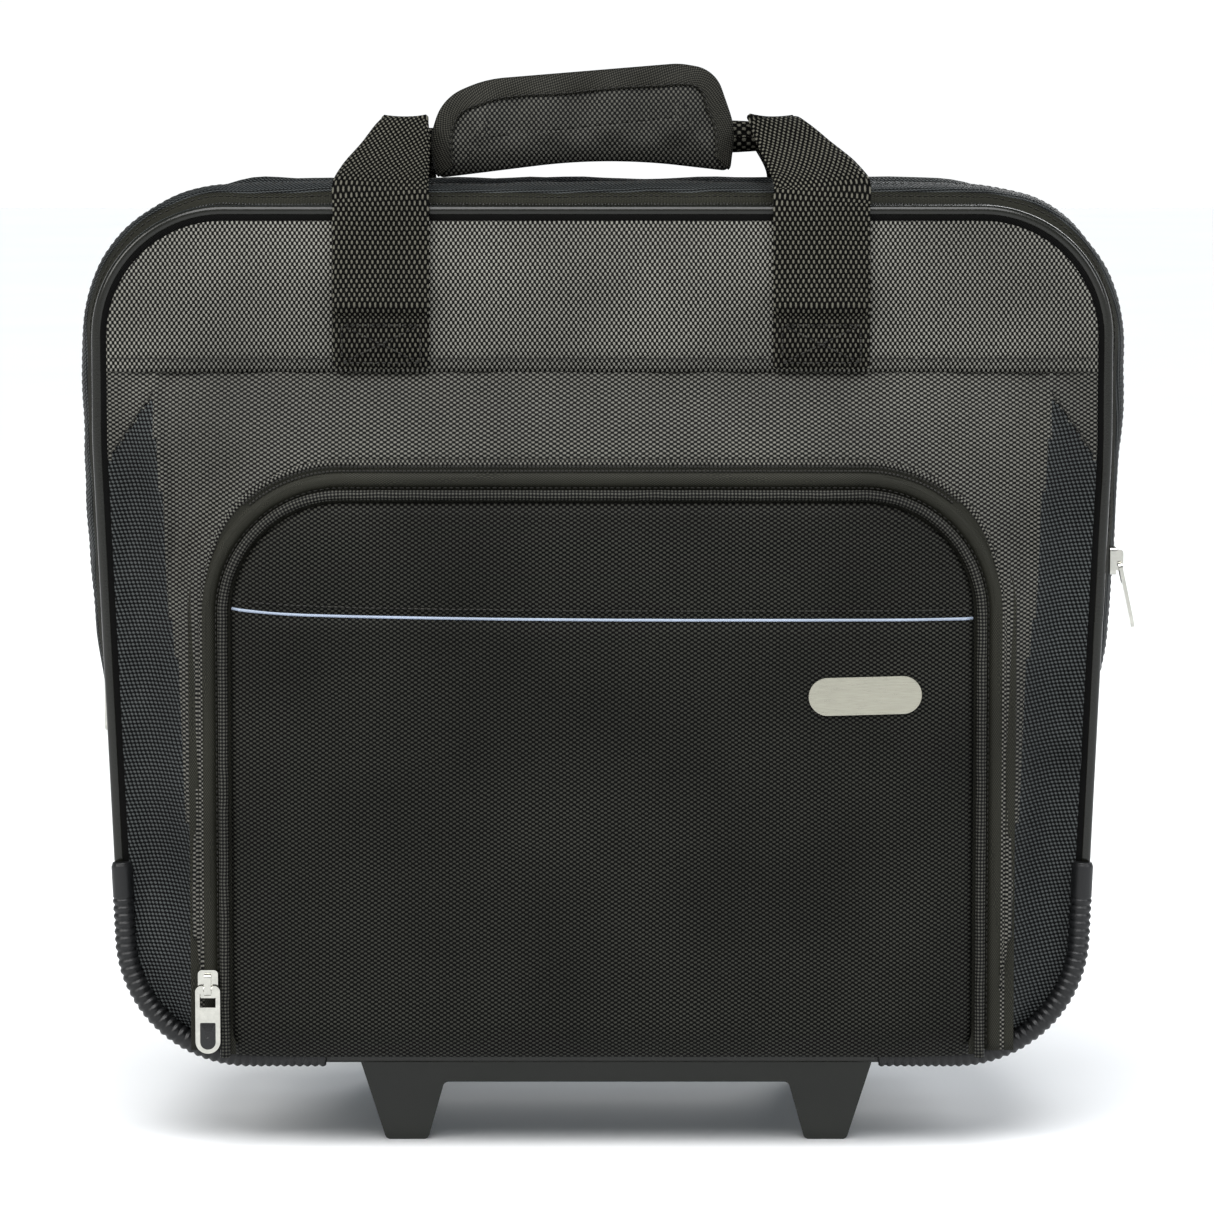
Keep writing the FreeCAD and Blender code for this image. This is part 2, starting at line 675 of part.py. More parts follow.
def trolley_bezel():
    """Moulding at the top of the outer tubes, with a hole for each leg."""
    body = rounded_box((-BEZEL_HALF, BEZEL_HALF), (BACK_Y + PANEL_T, TUBE_Y + 12.5), BEZEL_Z, 4.0)
    for x in (-TUBE_X, TUBE_X):
        body = body.cut(rod(OUTER_R, (x, TUBE_Y, 0), (x, TUBE_Y, OUTER_Z[1])))
        body = body.cut(rod(OUTER_R - TUBE_WALL, (x, TUBE_Y, OUTER_Z[1]), (x, TUBE_Y, BIG)))
    return body


def trolley_cover():
    """Fabric-covered hump that hides the tubes on the back of the case."""
    y = BACK_Y + PANEL_T
    outer = rounded_box((-COVER_HALF, COVER_HALF), (y - 20.0, y + COVER_DEPTH), COVER_Z, 9.0, 2)
    hollow = rounded_box((-COVER_HALF + WALL, COVER_HALF - WALL), (y - 20.0, y + COVER_DEPTH - WALL),
                         (COVER_Z[0] - 1.0, COVER_Z[1] + 1.0), 7.0, 2)
    return outer.cut(hollow).common(box((-BIG, BIG), (y, BIG), (0, BIG)))


GRIP_WALL = 2.2
GRIP_SPLIT_Z = 392.0


def grip_block():
    return rounded_box((-GRIP_HALF, GRIP_HALF), GRIP_Y, GRIP_Z, 7.0)


def grip_cavity():
    return rounded_box((-GRIP_HALF + 5.0, GRIP_HALF - 5.0), (GRIP_Y[0] + GRIP_WALL, GRIP_Y[1] - GRIP_WALL),
                       (GRIP_Z[0] + GRIP_WALL, GRIP_Z[1] - GRIP_WALL), 4.5)


def grip_base():
    """Lower half of the grip, seated on the inner tubes."""
    half = grip_block().cut(grip_cavity()).common(box((-BIG, BIG), (0, BIG), (0, GRIP_SPLIT_Z)))
    for x in (-TUBE_X, TUBE_X):
        socket = pipe(INNER_R + 1.8, ROD_R + 1.0, (x, TUBE_Y, GRIP_Z[0]), (x, TUBE_Y, GRIP_SPLIT_Z - 2.0))
        half = half.fuse(socket).cut(rod(INNER_R, (x, TUBE_Y, 0), (x, TUBE_Y, INNER_Z[1])))
        half = half.cut(rod(ROD_R + 1.0, (x, TUBE_Y, 0), (x, TUBE_Y, BIG)))
    return half


BUTTON_GAP = 0.4


def grip_cap():
    """Upper half of the grip, with the button's slot."""
    half = grip_block().cut(grip_cavity()).common(box((-BIG, BIG), (0, BIG), (GRIP_SPLIT_Z, BIG)))
    middle = (GRIP_Y[0] + GRIP_Y[1]) / 2
    half_x, half_y = BUTTON_HALF + BUTTON_GAP, BUTTON_W / 2 + BUTTON_GAP
    slot = rounded_box((-half_x, half_x), (middle - half_y, middle + half_y), (GRIP_SPLIT_Z, BIG), 3.0, 2)
    return half.cut(slot)


def release_button():
    middle = (GRIP_Y[0] + GRIP_Y[1]) / 2
    return rounded_box((-BUTTON_HALF, BUTTON_HALF), (middle - BUTTON_W / 2, middle + BUTTON_W / 2),
                       (398.0, BUTTON_TOP), 3.0, 2)


def release_rods():
    """Crossbar under the button with a rod down each inner tube."""
    bar = box((-TUBE_X - 3.0, TUBE_X + 3.0), (TUBE_Y - 3.0, TUBE_Y + 3.0), (395.0, 398.0))
    rods = [rod(ROD_R, (x, TUBE_Y, 84.0), (x, TUBE_Y, 396.0)) for x in (-TUBE_X, TUBE_X)]
    return fused([bar] + rods)


SPRING_R, SPRING_WIRE_R, SPRING_TURNS = 3.0, 0.35, 5
SPRING_Z = (GRIP_Z[0] + GRIP_WALL, 395.0)


def button_spring():
    """Coil between the grip's floor and the crossbar."""
    low = SPRING_Z[0] + SPRING_WIRE_R + 0.05
    height = SPRING_Z[1] - SPRING_Z[0] - 2 * SPRING_WIRE_R - 0.1
    coil = Part.makeHelix(height / SPRING_TURNS, height, SPRING_R)
    ring = Part.Wire(Part.Circle(V(SPRING_R, 0, 0), V(0, 1, 0), SPRING_WIRE_R).toShape())
    made = Part.Wire(coil).makePipeShell([ring], True, True)
    made.translate(V(0, TUBE_Y, low))
    return made


# ---------------------------------------------------------------- feet, wheel carriage and wheels
def foot_bar():
    """Moulded front stand: a bar with two tapering feet."""
    half = [(-CARRIAGE_HALF, BOTTOM_Z), (-FOOT_OUT, 0.0), (-FOOT_IN, 0.0), (-FOOT_IN_TOP, BAR_BOTTOM)]
    outline = half + [(-x, z) for x, z in half[::-1]]
    body = prism_y([(CARRIAGE_X + x, z) for x, z in outline], BAR_Y)
    body = softened(body, 2.5, lambda e: along_axis(1)(e) and e.Vertexes[0].Z < BOTTOM_Z - 1.0)
    for x, y in foot_screw_places():
        if abs(x - CARRIAGE_X) < FOOT_IN_TOP:
            recess = rod(SCREW_HEAD_R + 0.3, (x, y, 0), (x, y, BAR_BOTTOM + 2.0))
        else:
            recess = rod(SCREW_HEAD_R + 0.3, (x, y, -1), (x, y, BAR_BOTTOM + 2.0))
        body = body.cut(recess).cut(rod(SCREW_HEAD_R, (x, y, BAR_BOTTOM + 2.0),
                                        (x, y, BAR_BOTTOM + 2.0 + SCREW_HEAD_H)))
        body = body.cut(rod(SCREW_R, (x, y, 0), (x, y, BIG)))
    return body


def wheel_places():
    return [CARRIAGE_X - WHEEL_X, CARRIAGE_X + WHEEL_X]


BEAM_Y = (BACK_Y + PANEL_T, TUBE_Y + 12.0)
BEAM_Z = (BAR_BOTTOM + 9.0, 66.0)
BEAM_WALL = 3.0


def wheel_carriage():
    """Moulded rear base: a beam that holds the trolley tubes, with a housing over each wheel."""
    x = (CARRIAGE_X - CARRIAGE_HALF, CARRIAGE_X + CARRIAGE_HALF)
    body = rounded_box(x, BEAM_Y, BEAM_Z, 5.0)
    for wheel_x in wheel_places():
        side = (wheel_x - HOUSING_W / 2, wheel_x + HOUSING_W / 2)
        drum = rod(HOUSING_R, (side[0], WHEEL_Y, WHEEL_R), (side[1], WHEEL_Y, WHEEL_R))
        drum = drum.common(box((-BIG, BIG), (-BIG, WHEEL_Y + 17.0), (13.0, BIG)))
        body = body.fuse(drum)
    keep_out = box((-BIG, BIG), (-BIG, BEAM_Y[0]), (BOTTOM_Z - 0.3, BIG))
    body = body.cut(keep_out)
    for wheel_x in wheel_places():
        room = (wheel_x - HOUSING_W / 2 + CHEEK_T, wheel_x + HOUSING_W / 2 - CHEEK_T)
        body = body.cut(rod(WHEEL_R + 3.0, (room[0], WHEEL_Y, WHEEL_R), (room[1], WHEEL_Y, WHEEL_R)))
        body = body.cut(rod(AXLE_R, (wheel_x - 20, WHEEL_Y, WHEEL_R), (wheel_x + 20, WHEEL_Y, WHEEL_R)))
    for tube_x in (-TUBE_X, TUBE_X):
        body = body.cut(rod(OUTER_R, (tube_x, TUBE_Y, OUTER_Z[0]), (tube_x, TUBE_Y, BIG)))
    return body.cut(rear_piping_tube(0.3)).cut(carriage_screws())


AXLE_HEAD_R, AXLE_HEAD_T = AXLE_R + 2.0, 1.5


def wheel_axles():
    """Headed steel pin through each wheel housing."""
    made = []
    for x in wheel_places():
        half = HOUSING_W / 2
        pin = rod(AXLE_R, (x - half, WHEEL_Y, WHEEL_R), (x + half, WHEEL_Y, WHEEL_R))
        for side in (-1, 1):
            end = x + side * half
            head = rod(AXLE_HEAD_R, (end, WHEEL_Y, WHEEL_R), (end + side * AXLE_HEAD_T, WHEEL_Y, WHEEL_R))
            pin = pin.fuse(head)
        made.append(pin.removeSplitter())
    return Part.makeCompound(made)


TYRE_T = 5.0
HUB_R = WHEEL_R - TYRE_T
BOSS_R, DISH_WALL, WEB_HALF = 6.5, 2.5, 3.0
HUB_HOLES, HUB_HOLE_R, HUB_HOLE_RING = 5, 2.6, 11.0


def wheel_tyre(x):
    outer = rod(WHEEL_R, (x - WHEEL_W / 2, WHEEL_Y, WHEEL_R), (x + WHEEL_W / 2, WHEEL_Y, WHEEL_R))
    outer = softened(outer, 2.5, lambda e: isinstance(e.Curve, Part.Circle))
    return outer.cut(rod(HUB_R, (x - WHEEL_W, WHEEL_Y, WHEEL_R), (x + WHEEL_W, WHEEL_Y, WHEEL_R)))


def wheel_hub(x):
    body = rod(HUB_R, (x - WHEEL_W / 2 + 1, WHEEL_Y, WHEEL_R), (x + WHEEL_W / 2 - 1, WHEEL_Y, WHEEL_R))
    for side in (-1, 1):
        floor, mouth = x + side * WEB_HALF, x + side * WHEEL_W
        dish = pipe(HUB_R - DISH_WALL, BOSS_R, (floor, WHEEL_Y, WHEEL_R), (mouth, WHEEL_Y, WHEEL_R))
        body = body.cut(dish)
    boss = rod(BOSS_R, (x - HOUSING_W / 2 + CHEEK_T + 0.4, WHEEL_Y, WHEEL_R),
               (x + HOUSING_W / 2 - CHEEK_T - 0.4, WHEEL_Y, WHEEL_R))
    holes = []
    for k in range(HUB_HOLES):
        angle = 2 * math.pi * k / HUB_HOLES + math.pi / 10
        y, z = WHEEL_Y + HUB_HOLE_RING * math.cos(angle), WHEEL_R + HUB_HOLE_RING * math.sin(angle)
        holes.append(rod(HUB_HOLE_R, (x - WHEEL_W, y, z), (x + WHEEL_W, y, z)))
    body = body.fuse(boss)
    for hole in holes:
        body = body.cut(hole)
    return body.cut(rod(AXLE_R + RUN_CLEAR, (x - 30, WHEEL_Y, WHEEL_R), (x + 30, WHEEL_Y, WHEEL_R)))


def carriage_screws():
    """Four screws through the carriage's beam into the case's back panel."""
    made = []
    for dx in (-92.0, -30.0, 30.0, 92.0):
        x = CARRIAGE_X + dx
        head = rod(4.0, (x, BEAM_Y[1] - 1.0, 58.0), (x, BEAM_Y[1] + 1.2, 58.0))
        shank = rod(2.0, (x, BEAM_Y[0] - PANEL_T, 58.0), (x, BEAM_Y[1] - 1.0, 58.0))
        made.append(head.fuse(shank))
    return Part.makeCompound(made)


# ---------------------------------------------------------------- build and export
def build():
    guard_left = corner_guard()
    guard_right = mirrored(guard_left)
    guards = [guard_left, guard_right]
    piping = front_piping()
    badge = badge_plate()
    bar_front = strap_bar(FRONT_BAR_Y)
    front_slider, front_pull = front_slider_parts()
    main_slider, main_pull = side_slider_parts("main", MAIN_SLIDER_Z, 1, MAIN_PULL_TILT)
    laptop_slider, laptop_pull = side_slider_parts("laptop", LAPTOP_SLIDER_Z, -1, 0.0)
    left, right = wheel_places()
    laptop_front = (DIVIDER_Y + DIVIDER_T,) + MAIN_REAR[1:]
    return {
        "back_panel": back_panel(),
        "main_gusset": main_gusset(),
        "laptop_gusset": laptop_gusset(),
        "divider_panel": divider_panel(),
        "rear_piping": rear_piping_tube(),
        "base_board": base_board(),
        "laptop_pad": laptop_pad(),
        "laptop_strap": laptop_strap(),
        "main_zip": side_zip(FRONT_RIM, MAIN_CROWN, MAIN_REAR, SIDE_ZIP_Y["main"]),
        "laptop_zip": side_zip(laptop_front, LAPTOP_CROWN, REAR_RIM, SIDE_ZIP_Y["laptop"]),
        "foot_bar": foot_bar(),
        "foot_bar_screws": foot_screws(),
        "wheel_carriage": wheel_carriage(),
        "carriage_screws": carriage_screws(),
        "wheel_axles": wheel_axles(),
        "outer_tubes": outer_tubes(),
        "trolley_bezel": trolley_bezel(),
        "trolley_cover": trolley_cover(),
        "rear_strap": rear_strap(),
        "front_panel": front_panel(guards, piping),
        "yoke_panel": yoke_panel(guards),
        "front_piping": piping,
        "corner_guard_left": guard_left,
        "corner_guard_right": guard_right,
        "pocket_gusset": pocket_gusset(),
        "organiser_pocket": organiser_pocket(),
        "front_zip_outer": front_zip_outer(),
        "front_strap": front_strap(),
        "grip_wrap": wrap_back(bar_front),
        "grip_wrap_cover": wrap_cover(),
        "flap_panel": flap_panel_for_badge(badge),
        "flap_piping": flap_piping(),
        "front_zip_inner": front_zip_inner(),
        "accent_piping": accent_piping(),
        "badge_plate": badge,
        "front_zip_slider": front_slider,
        "front_zip_pull": front_pull,
        "main_zip_slider": main_slider,
        "main_zip_pull": main_pull,
        "laptop_zip_slider": laptop_slider,
        "laptop_zip_pull": laptop_pull,
        "middle_tubes": middle_tubes(),
        "middle_collars": middle_collars(),
        "inner_tubes": inner_tubes(),
        "grip_base": grip_base(),
        "grip_cap": grip_cap(),
        "release_button": release_button(),
        "release_rods": release_rods(),
        "button_spring": button_spring(),
        "wheel_left_tyre": wheel_tyre(left),
        "wheel_left_hub": wheel_hub(left),
        "wheel_right_tyre": wheel_tyre(right),
        "wheel_right_hub": wheel_hub(right),
    }


def main():
    os.makedirs("parts", exist_ok=True)
    for name, shape in build().items():
        solids = shape.Solids
        problem = "" if shape.isValid() and solids else "  <-- not valid"
        print(f"{name:20s} {len(solids)} solid(s) {shape.Volume / 1000:9.2f} cm3{problem}")
        whole = solids[0] if len(solids) == 1 else Part.makeCompound(solids)
        whole.exportStep(f"parts/{name}.step")


main()
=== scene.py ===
from math import cos, exp, hypot, pi, radians, sin, sqrt, tan

import bmesh
import bpy
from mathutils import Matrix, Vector, noise


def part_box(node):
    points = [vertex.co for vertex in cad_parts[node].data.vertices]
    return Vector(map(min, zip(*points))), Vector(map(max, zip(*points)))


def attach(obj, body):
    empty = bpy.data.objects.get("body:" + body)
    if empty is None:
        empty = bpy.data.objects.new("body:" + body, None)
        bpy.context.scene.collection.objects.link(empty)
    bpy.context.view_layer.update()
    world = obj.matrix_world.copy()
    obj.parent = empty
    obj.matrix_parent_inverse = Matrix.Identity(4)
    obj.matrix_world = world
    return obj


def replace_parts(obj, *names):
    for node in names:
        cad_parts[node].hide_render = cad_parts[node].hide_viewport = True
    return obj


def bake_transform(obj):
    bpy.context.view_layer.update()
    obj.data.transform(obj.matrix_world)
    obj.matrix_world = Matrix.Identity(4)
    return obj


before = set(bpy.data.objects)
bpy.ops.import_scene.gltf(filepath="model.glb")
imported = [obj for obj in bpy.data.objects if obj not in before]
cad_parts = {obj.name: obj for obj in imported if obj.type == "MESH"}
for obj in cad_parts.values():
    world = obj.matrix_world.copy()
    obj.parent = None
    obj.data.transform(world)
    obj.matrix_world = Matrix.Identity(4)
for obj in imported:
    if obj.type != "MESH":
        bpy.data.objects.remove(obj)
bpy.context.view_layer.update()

# ---------------------------------------------------------------- sizes repeated from the CAD model
PANEL_BOX, DIVIDER_BOX, BACK_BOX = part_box("front_panel"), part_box("divider_panel"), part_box("back_panel")
FRONT_Y = PANEL_BOX[0][1]                 # outer face of the front panel
BACK_Y = BACK_BOX[0][1]                   # inner face of the back panel
BOTTOM_Z, SHOULDER_Z = 0.0343, 0.300
SHOULDER_R, CORNER_R = 0.420, 0.056
PIPING_R = 0.0025
FACE_INSET = PIPING_R * 2 + 0.0016        # from the rim to the edge of the front cloth
FRONT_HALF, FOOT_HALF, FRONT_TOP = 0.2165, 0.205, 0.4018
# Cross-sections of the case: y, half width at the shoulder, half width at the bottom, top z, top radius
FRONT_RIM = (FRONT_Y + 0.0047, 0.2130, 0.2030, 0.4000, 0.055)
MAIN_CROWN = (-0.025, 0.2225, 0.2060, 0.4090, 0.066)
MAIN_REAR = (DIVIDER_BOX[0][1], 0.2170, 0.2040, 0.4055, 0.074)
LAPTOP_FRONT = (DIVIDER_BOX[1][1],) + MAIN_REAR[1:]
LAPTOP_CROWN = (0.026, 0.2180, 0.2040, 0.4110, 0.078)
REAR_RIM = (BACK_Y, 0.2110, 0.2020, 0.4065, 0.084)
SEAM_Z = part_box("yoke_panel")[0][2]
FLAP_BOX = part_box("flap_panel")
FLAP_HALF, FLAP_TOP, FLAP_BOTTOM = FLAP_BOX[1][0], FLAP_BOX[1][2], FLAP_BOX[0][2]
FLAP_R = 0.042
FLAP_BACK_Y, FLAP_CROWN = FLAP_BOX[1][1], 0.0045
FLAP_EDGE_Y = FLAP_BACK_Y - 0.005
LEAF_GROW = 0.0050                        # how much larger the flap's cloth is than its panel
LEAF_HALF, LEAF_TOP, LEAF_R = FLAP_HALF + LEAF_GROW, FLAP_TOP + LEAF_GROW, FLAP_R + LEAF_GROW
ZIP_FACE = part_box("front_zip_outer")[0][1]
# Distances outside the flap's edge: where the tapes meet, the outer one's edge at the sides and over the top
ZIP_SPLIT, ZIP_SIDE, ZIP_OUT = 0.010, 0.0178, 0.022
POCKET_DEPTH = 0.0245
ACCENT_Z = 0.2300
STRAP_X, STRAP_HALF = 0.093, 0.0204

FRONTWARD, BACKWARD, UPWARD, SIDEWAYS = (Vector(v) for v in ((0, -1, 0), (0, 1, 0), (0, 0, 1), (1, 0, 0)))


# ---------------------------------------------------------------- small maths
def clamp(t):
    """The value, kept between 0 and 1."""
    return max(0.0, min(1.0, t))


def smooth(t):
    """Rises from 0 to 1 with no slope at either end."""
    t = clamp(t)
    return t * t * (3.0 - 2.0 * t)


def lerp(a, b, t):
    """The value a share t of the way from a to b."""
    return a + (b - a) * t


def spread(a, b, count):
    """Values from a to b in even steps."""
    return [lerp(a, b, k / count) for k in range(count + 1)]


def ease(t):
    """Rises from 0 to 1 and levels off."""
    return sin(clamp(t) * pi / 2)


def hill(distance, width):
    """1 at no distance, falling away on both sides."""
    return exp(-(distance / width) ** 2)


def along(value, stops):
    """Smooth value between given stops: (position, value) pairs with rising positions."""
    if value <= stops[0][0]:
        return stops[0][1]
    for (p0, v0), (p1, v1) in zip(stops, stops[1:]):
        if value <= p1:
            return lerp(v0, v1, smooth((value - p0) / (p1 - p0)))
    return stops[-1][1]


def soft_noise(x, y, z, scale, seed=0.0):
    """Gentle noise from -1 to 1 with features about scale metres across."""
    return noise.noise(Vector((x / scale + seed, y / scale + seed * 0.7, z / scale - seed)))


def corner_arc(corners, i, radius, step, steps=None):
    """Tangent arc that rounds corner i, in a given number of steps or in steps of about one length."""
    here = Vector(corners[i])
    back = (Vector(corners[i - 1]) - here).normalized()
    ahead = (Vector(corners[(i + 1) % len(corners)]) - here).normalized()
    opening = back.angle(ahead)
    turn = pi - opening
    if radius < 1e-6 or turn < 1e-4:
        return [here]
    reach = radius / tan(opening / 2)
    centre = here + (back + ahead).normalized() * (radius / sin(opening / 2))
    arm0, arm1 = here + back * reach - centre, here + ahead * reach - centre
    return [centre + (arm0 * sin((1 - t) * turn) + arm1 * sin(t * turn)) / sin(turn)
            for t in spread(0, 1, steps or max(6, int(radius * turn / step)))]


def rounded(corners, radii, closed, step=0.003):
    """Points along straight runs and tangent arcs through corners in the XZ plane."""
    points = []
    for i, radius in enumerate(radii):
        at_end = not closed and i in (0, len(corners) - 1)
        points += [Vector(corners[i])] if at_end else corner_arc(corners, i, radius, step)
    filled = []
    for a, b in zip(points, points[1:] + (points[:1] if closed else [])):
        pieces = max(1, round((b - a).length / (step * 2.5)))
        filled += [a.lerp(b, k / pieces) for k in range(pieces)]
    return filled if closed else filled + points[-1:]


ARC_STEPS, RUN_STEPS = 22, 34


def case_ring(section, inset=0.0):
    """One cross-section of the case, from the bottom left, always with as many points, for lofting."""
    _, shoulder, foot, top, top_r = section
    s, f, low, high = shoulder - inset, foot - inset, BOTTOM_Z + inset, top - inset
    corners = [(-f, low), (-s, SHOULDER_Z), (-s, high), (s, high), (s, SHOULDER_Z), (f, low)]
    bottom, over = CORNER_R - inset, top_r - inset
    radii = [bottom, SHOULDER_R, over, over, SHOULDER_R, bottom]
    arcs = [corner_arc(corners, i, radius, 0, ARC_STEPS) for i, radius in enumerate(radii)]
    points = []
    for arc, following in zip(arcs, arcs[1:] + arcs[:1]):
        points += arc + [arc[-1].lerp(following[0], k / RUN_STEPS) for k in range(1, RUN_STEPS)]
    return points


def blend_sections(sections, y):
    """Cross-section at depth y on the curve through three known ones."""
    a, b, c = sections
    wa = (y - b[0]) * (y - c[0]) / ((a[0] - b[0]) * (a[0] - c[0]))
    wb = (y - a[0]) * (y - c[0]) / ((b[0] - a[0]) * (b[0] - c[0]))
    wc = (y - a[0]) * (y - b[0]) / ((c[0] - a[0]) * (c[0] - b[0]))
    return (y,) + tuple(wa * p + wb * q + wc * r for p, q, r in zip(a[1:], b[1:], c[1:]))


# ---------------------------------------------------------------- meshes
def add_mesh(name, verts, faces, uvs, material, body):
    """Object from vertices, faces and one UV in metres per vertex."""
    mesh = bpy.data.meshes.new(name)
    mesh.from_pydata([tuple(v) for v in verts], [], faces)
    layer = mesh.uv_layers.new(name="UVMap")
    for loop in mesh.loops:
        layer.data[loop.index].uv = uvs[loop.vertex_index]
    mesh.polygons.foreach_set("use_smooth", [True] * len(mesh.polygons))
    mesh.update()
    piece = bpy.data.objects.new(name, mesh)
    bpy.context.collection.objects.link(piece)
    piece.data.materials.append(material)
    if body:
        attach(piece, body)
    return piece


def grid(name, rows, material, body, uv_rows=None, closed=False, keep=None):
    """Surface through rows of points. keep(i, j) can leave faces out."""
    nj = len(rows[0])
    verts = [p for row in rows for p in row]
    if uv_rows is None:
        uvs = [(p[0], p[2]) for p in verts]
    else:
        uvs = [uv for row in uv_rows for uv in row]
    faces = []
    for i in range(len(rows) - 1):
        for j in range(nj if closed else nj - 1):
            if keep and not keep(i, j):
                continue
            k = (j + 1) % nj
            faces.append((i * nj + j, i * nj + k, (i + 1) * nj + k, (i + 1) * nj + j))
    return add_mesh(name, verts, faces, uvs, material, body)


def face_out(piece, away):
    """Turns the faces so that they look along away, a vector or a function of the point."""
    mesh = piece.data
    total = 0.0
    for polygon in mesh.polygons:
        direction = away(polygon.center) if callable(away) else away
        total += polygon.area * polygon.normal.dot(direction)
    if total < 0:
        mesh.flip_normals()


def thicken(piece, thickness, away=FRONTWARD, inside=None):
    """Gives a surface its cloth thickness on the side away from view, with another material inside."""
    face_out(piece, away)
    mod = piece.modifiers.new("cloth", "SOLIDIFY")
    mod.thickness = thickness
    mod.offset = -1.0
    mod.use_even_offset = False
    if inside:
        slots = len(piece.data.materials)
        for _ in range(slots):
            piece.data.materials.append(inside)
        mod.material_offset = slots
        mod.material_offset_rim = slots
    return piece


def directions(path):
    """Unit direction of a path at each of its points."""
    last = len(path) - 1
    return [(path[min(i + 1, last)] - path[max(i - 1, 0)]).normalized() for i in range(last + 1)]


def travel(path):
    """Distance along a path to each of its points."""
    made = [0.0]
    for a, b in zip(path, path[1:]):
        made.append(made[-1] + (b - a).length)
    return made


UV_RADIUS = 0.004


def tube(name, path, radius, material, body, sides=14, closed=False, up=FRONTWARD, squash=1.0):
    """Round or oval bar along a path. radius may be a number or a function of the distance along."""
    if closed:
        path = path + path[:1]
    rows, uv_rows = [], []
    for p, ahead, travelled in zip(path, directions(path), travel(path)):
        side = ahead.cross(up).normalized()
        normal = side.cross(ahead).normalized()
        r, uv_r = (radius(travelled), UV_RADIUS) if callable(radius) else (radius, radius)
        angles = [2 * pi * k / sides for k in range(sides + 1)]
        rows.append([p + side * (r * squash * cos(angle)) + normal * (r * sin(angle)) for angle in angles])
        uv_rows.append([(angle * uv_r, travelled) for angle in angles])
    piece = grid(name, rows, material, body, uv_rows)
    if not closed:
        cap_ends(piece, len(rows), sides + 1)
    return piece


def weld(piece, distance):
    """Joins points that lie together."""
    bm = bmesh.new()
    bm.from_mesh(piece.data)
    bmesh.ops.remove_doubles(bm, verts=bm.verts, dist=distance)
    bm.to_mesh(piece.data)
    bm.free()


def cap_ends(piece, rows, per_row):
    """Closes a tube's two ends with a fan."""
    mesh = piece.data
    bm = bmesh.new()
    bm.from_mesh(mesh)
    corners = list(bm.verts)
    for first in (0, (rows - 1) * per_row):
        ring = corners[first:first + per_row - 1]
        centre = sum((v.co for v in ring), Vector()) / len(ring)
        hub = bm.verts.new(centre)
        for a, b in zip(ring, ring[1:] + ring[:1]):
            bm.faces.new((a, b, hub))
    bmesh.ops.recalc_face_normals(bm, faces=bm.faces)
    bm.to_mesh(mesh)
    bm.free()


def ribbon(name, stations, thickness, material, body, across=18, up=FRONTWARD):
    """Webbing: stations are (centre, half width, side direction, curl) along its length."""
    path = [s[0] for s in stations]
    rows, uv_rows = [], []
    for (centre, half, side, curl), ahead, travelled in zip(stations, directions(path), travel(path)):
        side = (side - ahead * side.dot(ahead)).normalized()
        normal = side.cross(ahead).normalized()
        if normal.dot(up) < 0:
            normal = -normal
        row, uv_row = [], []
        for face in (1, -1):
            for k in range(across + 1):
                u = -1 + 2 * k / across if face > 0 else 1 - 2 * k / across
                edge = sqrt(max(0.0, 1 - max(0.0, (abs(u) - 0.95) / 0.05) ** 2))
                lift = face * thickness / 2 * edge - curl * half * u * u
                row.append(centre + side * (u * half * (1 - 0.25 * curl * u * u)) + normal * lift)
                uv_row.append((u * half, travelled))
        rows.append(row)
        uv_rows.append(uv_row)
    return grid(name, rows, material, body, uv_rows, closed=True)


def resample(points, step):
    """Points spaced evenly along a polyline."""
    made, carry = [points[0]], 0.0
    for a, b in zip(points, points[1:]):
        length = (b - a).length
        if length < 1e-9:
            continue
        at = step - carry
        while at <= length:
            made.append(a.lerp(b, at / length))
            at += step
        carry = length - (at - step)
    return made


def smooth_stations(stations, pieces=8):
    """Catmull-Rom rounding of ribbon stations."""
    made = []
    last = len(stations) - 1
    for i in range(last):
        p0, p1, p2, p3 = (stations[max(0, min(last, i + k))] for k in (-1, 0, 1, 2))
        for k in range(pieces):
            t = k / pieces
            made.append(tuple(hermite(a, b, c, d, t) for a, b, c, d in zip(p0, p1, p2, p3)))
    made.append(stations[-1])
    return made


def hermite(a, b, c, d, t):
    """The value a share t of the way from b to c on a smooth curve past a and d."""
    return 0.5 * ((b * 2.0) + (c - a) * t + (a * 2.0 - b * 5.0 + c * 4.0 - d) * t ** 2
                  + (b * 3.0 - a - c * 3.0 + d) * t ** 3)


def threads(name, places, material, body, radius=0.00035):
    """Many short lengths of thread or coil in one mesh: places are (centre, half vector, normal)."""
    verts, faces, uvs = [], [], []
    for centre, half, normal in places:
        side = half.cross(normal).normalized()
        base = len(verts)
        for t, r in ((-1.0, 0.45), (-0.6, 1.0), (0.6, 1.0), (1.0, 0.45)):
            arch = normal * (radius * 0.9 * (1 - t * t))
            for k in range(6):
                angle = pi / 3 * k
                verts.append(centre + half * t + arch + side * (radius * r * cos(angle))
                             + normal * (radius * r * sin(angle)))
                uvs.append((t * half.length, angle * radius))
        for ring in range(3):
            for k in range(6):
                a, b = base + ring * 6 + k, base + ring * 6 + (k + 1) % 6
                faces.append((a, b, b + 6, a + 6))
        faces.append(tuple(base + k for k in reversed(range(6))))
        faces.append(tuple(base + 18 + k for k in range(6)))
    return add_mesh(name, verts, faces, uvs, material, body)


def stitches(name, path, body, normal, pitch=0.0032, length=0.0022, radius=0.00035):
    """A row of stitches along a path. normal is a vector or a function of the point."""
    points = resample(path, pitch)
    places = []
    for a, b in zip(points, points[1:]):
        ahead = (b - a).normalized()
        up = normal(a) if callable(normal) else normal
        places.append((a.lerp(b, 0.5), ahead * (length / 2), up))
    return threads(name, places, THREAD, body, radius)


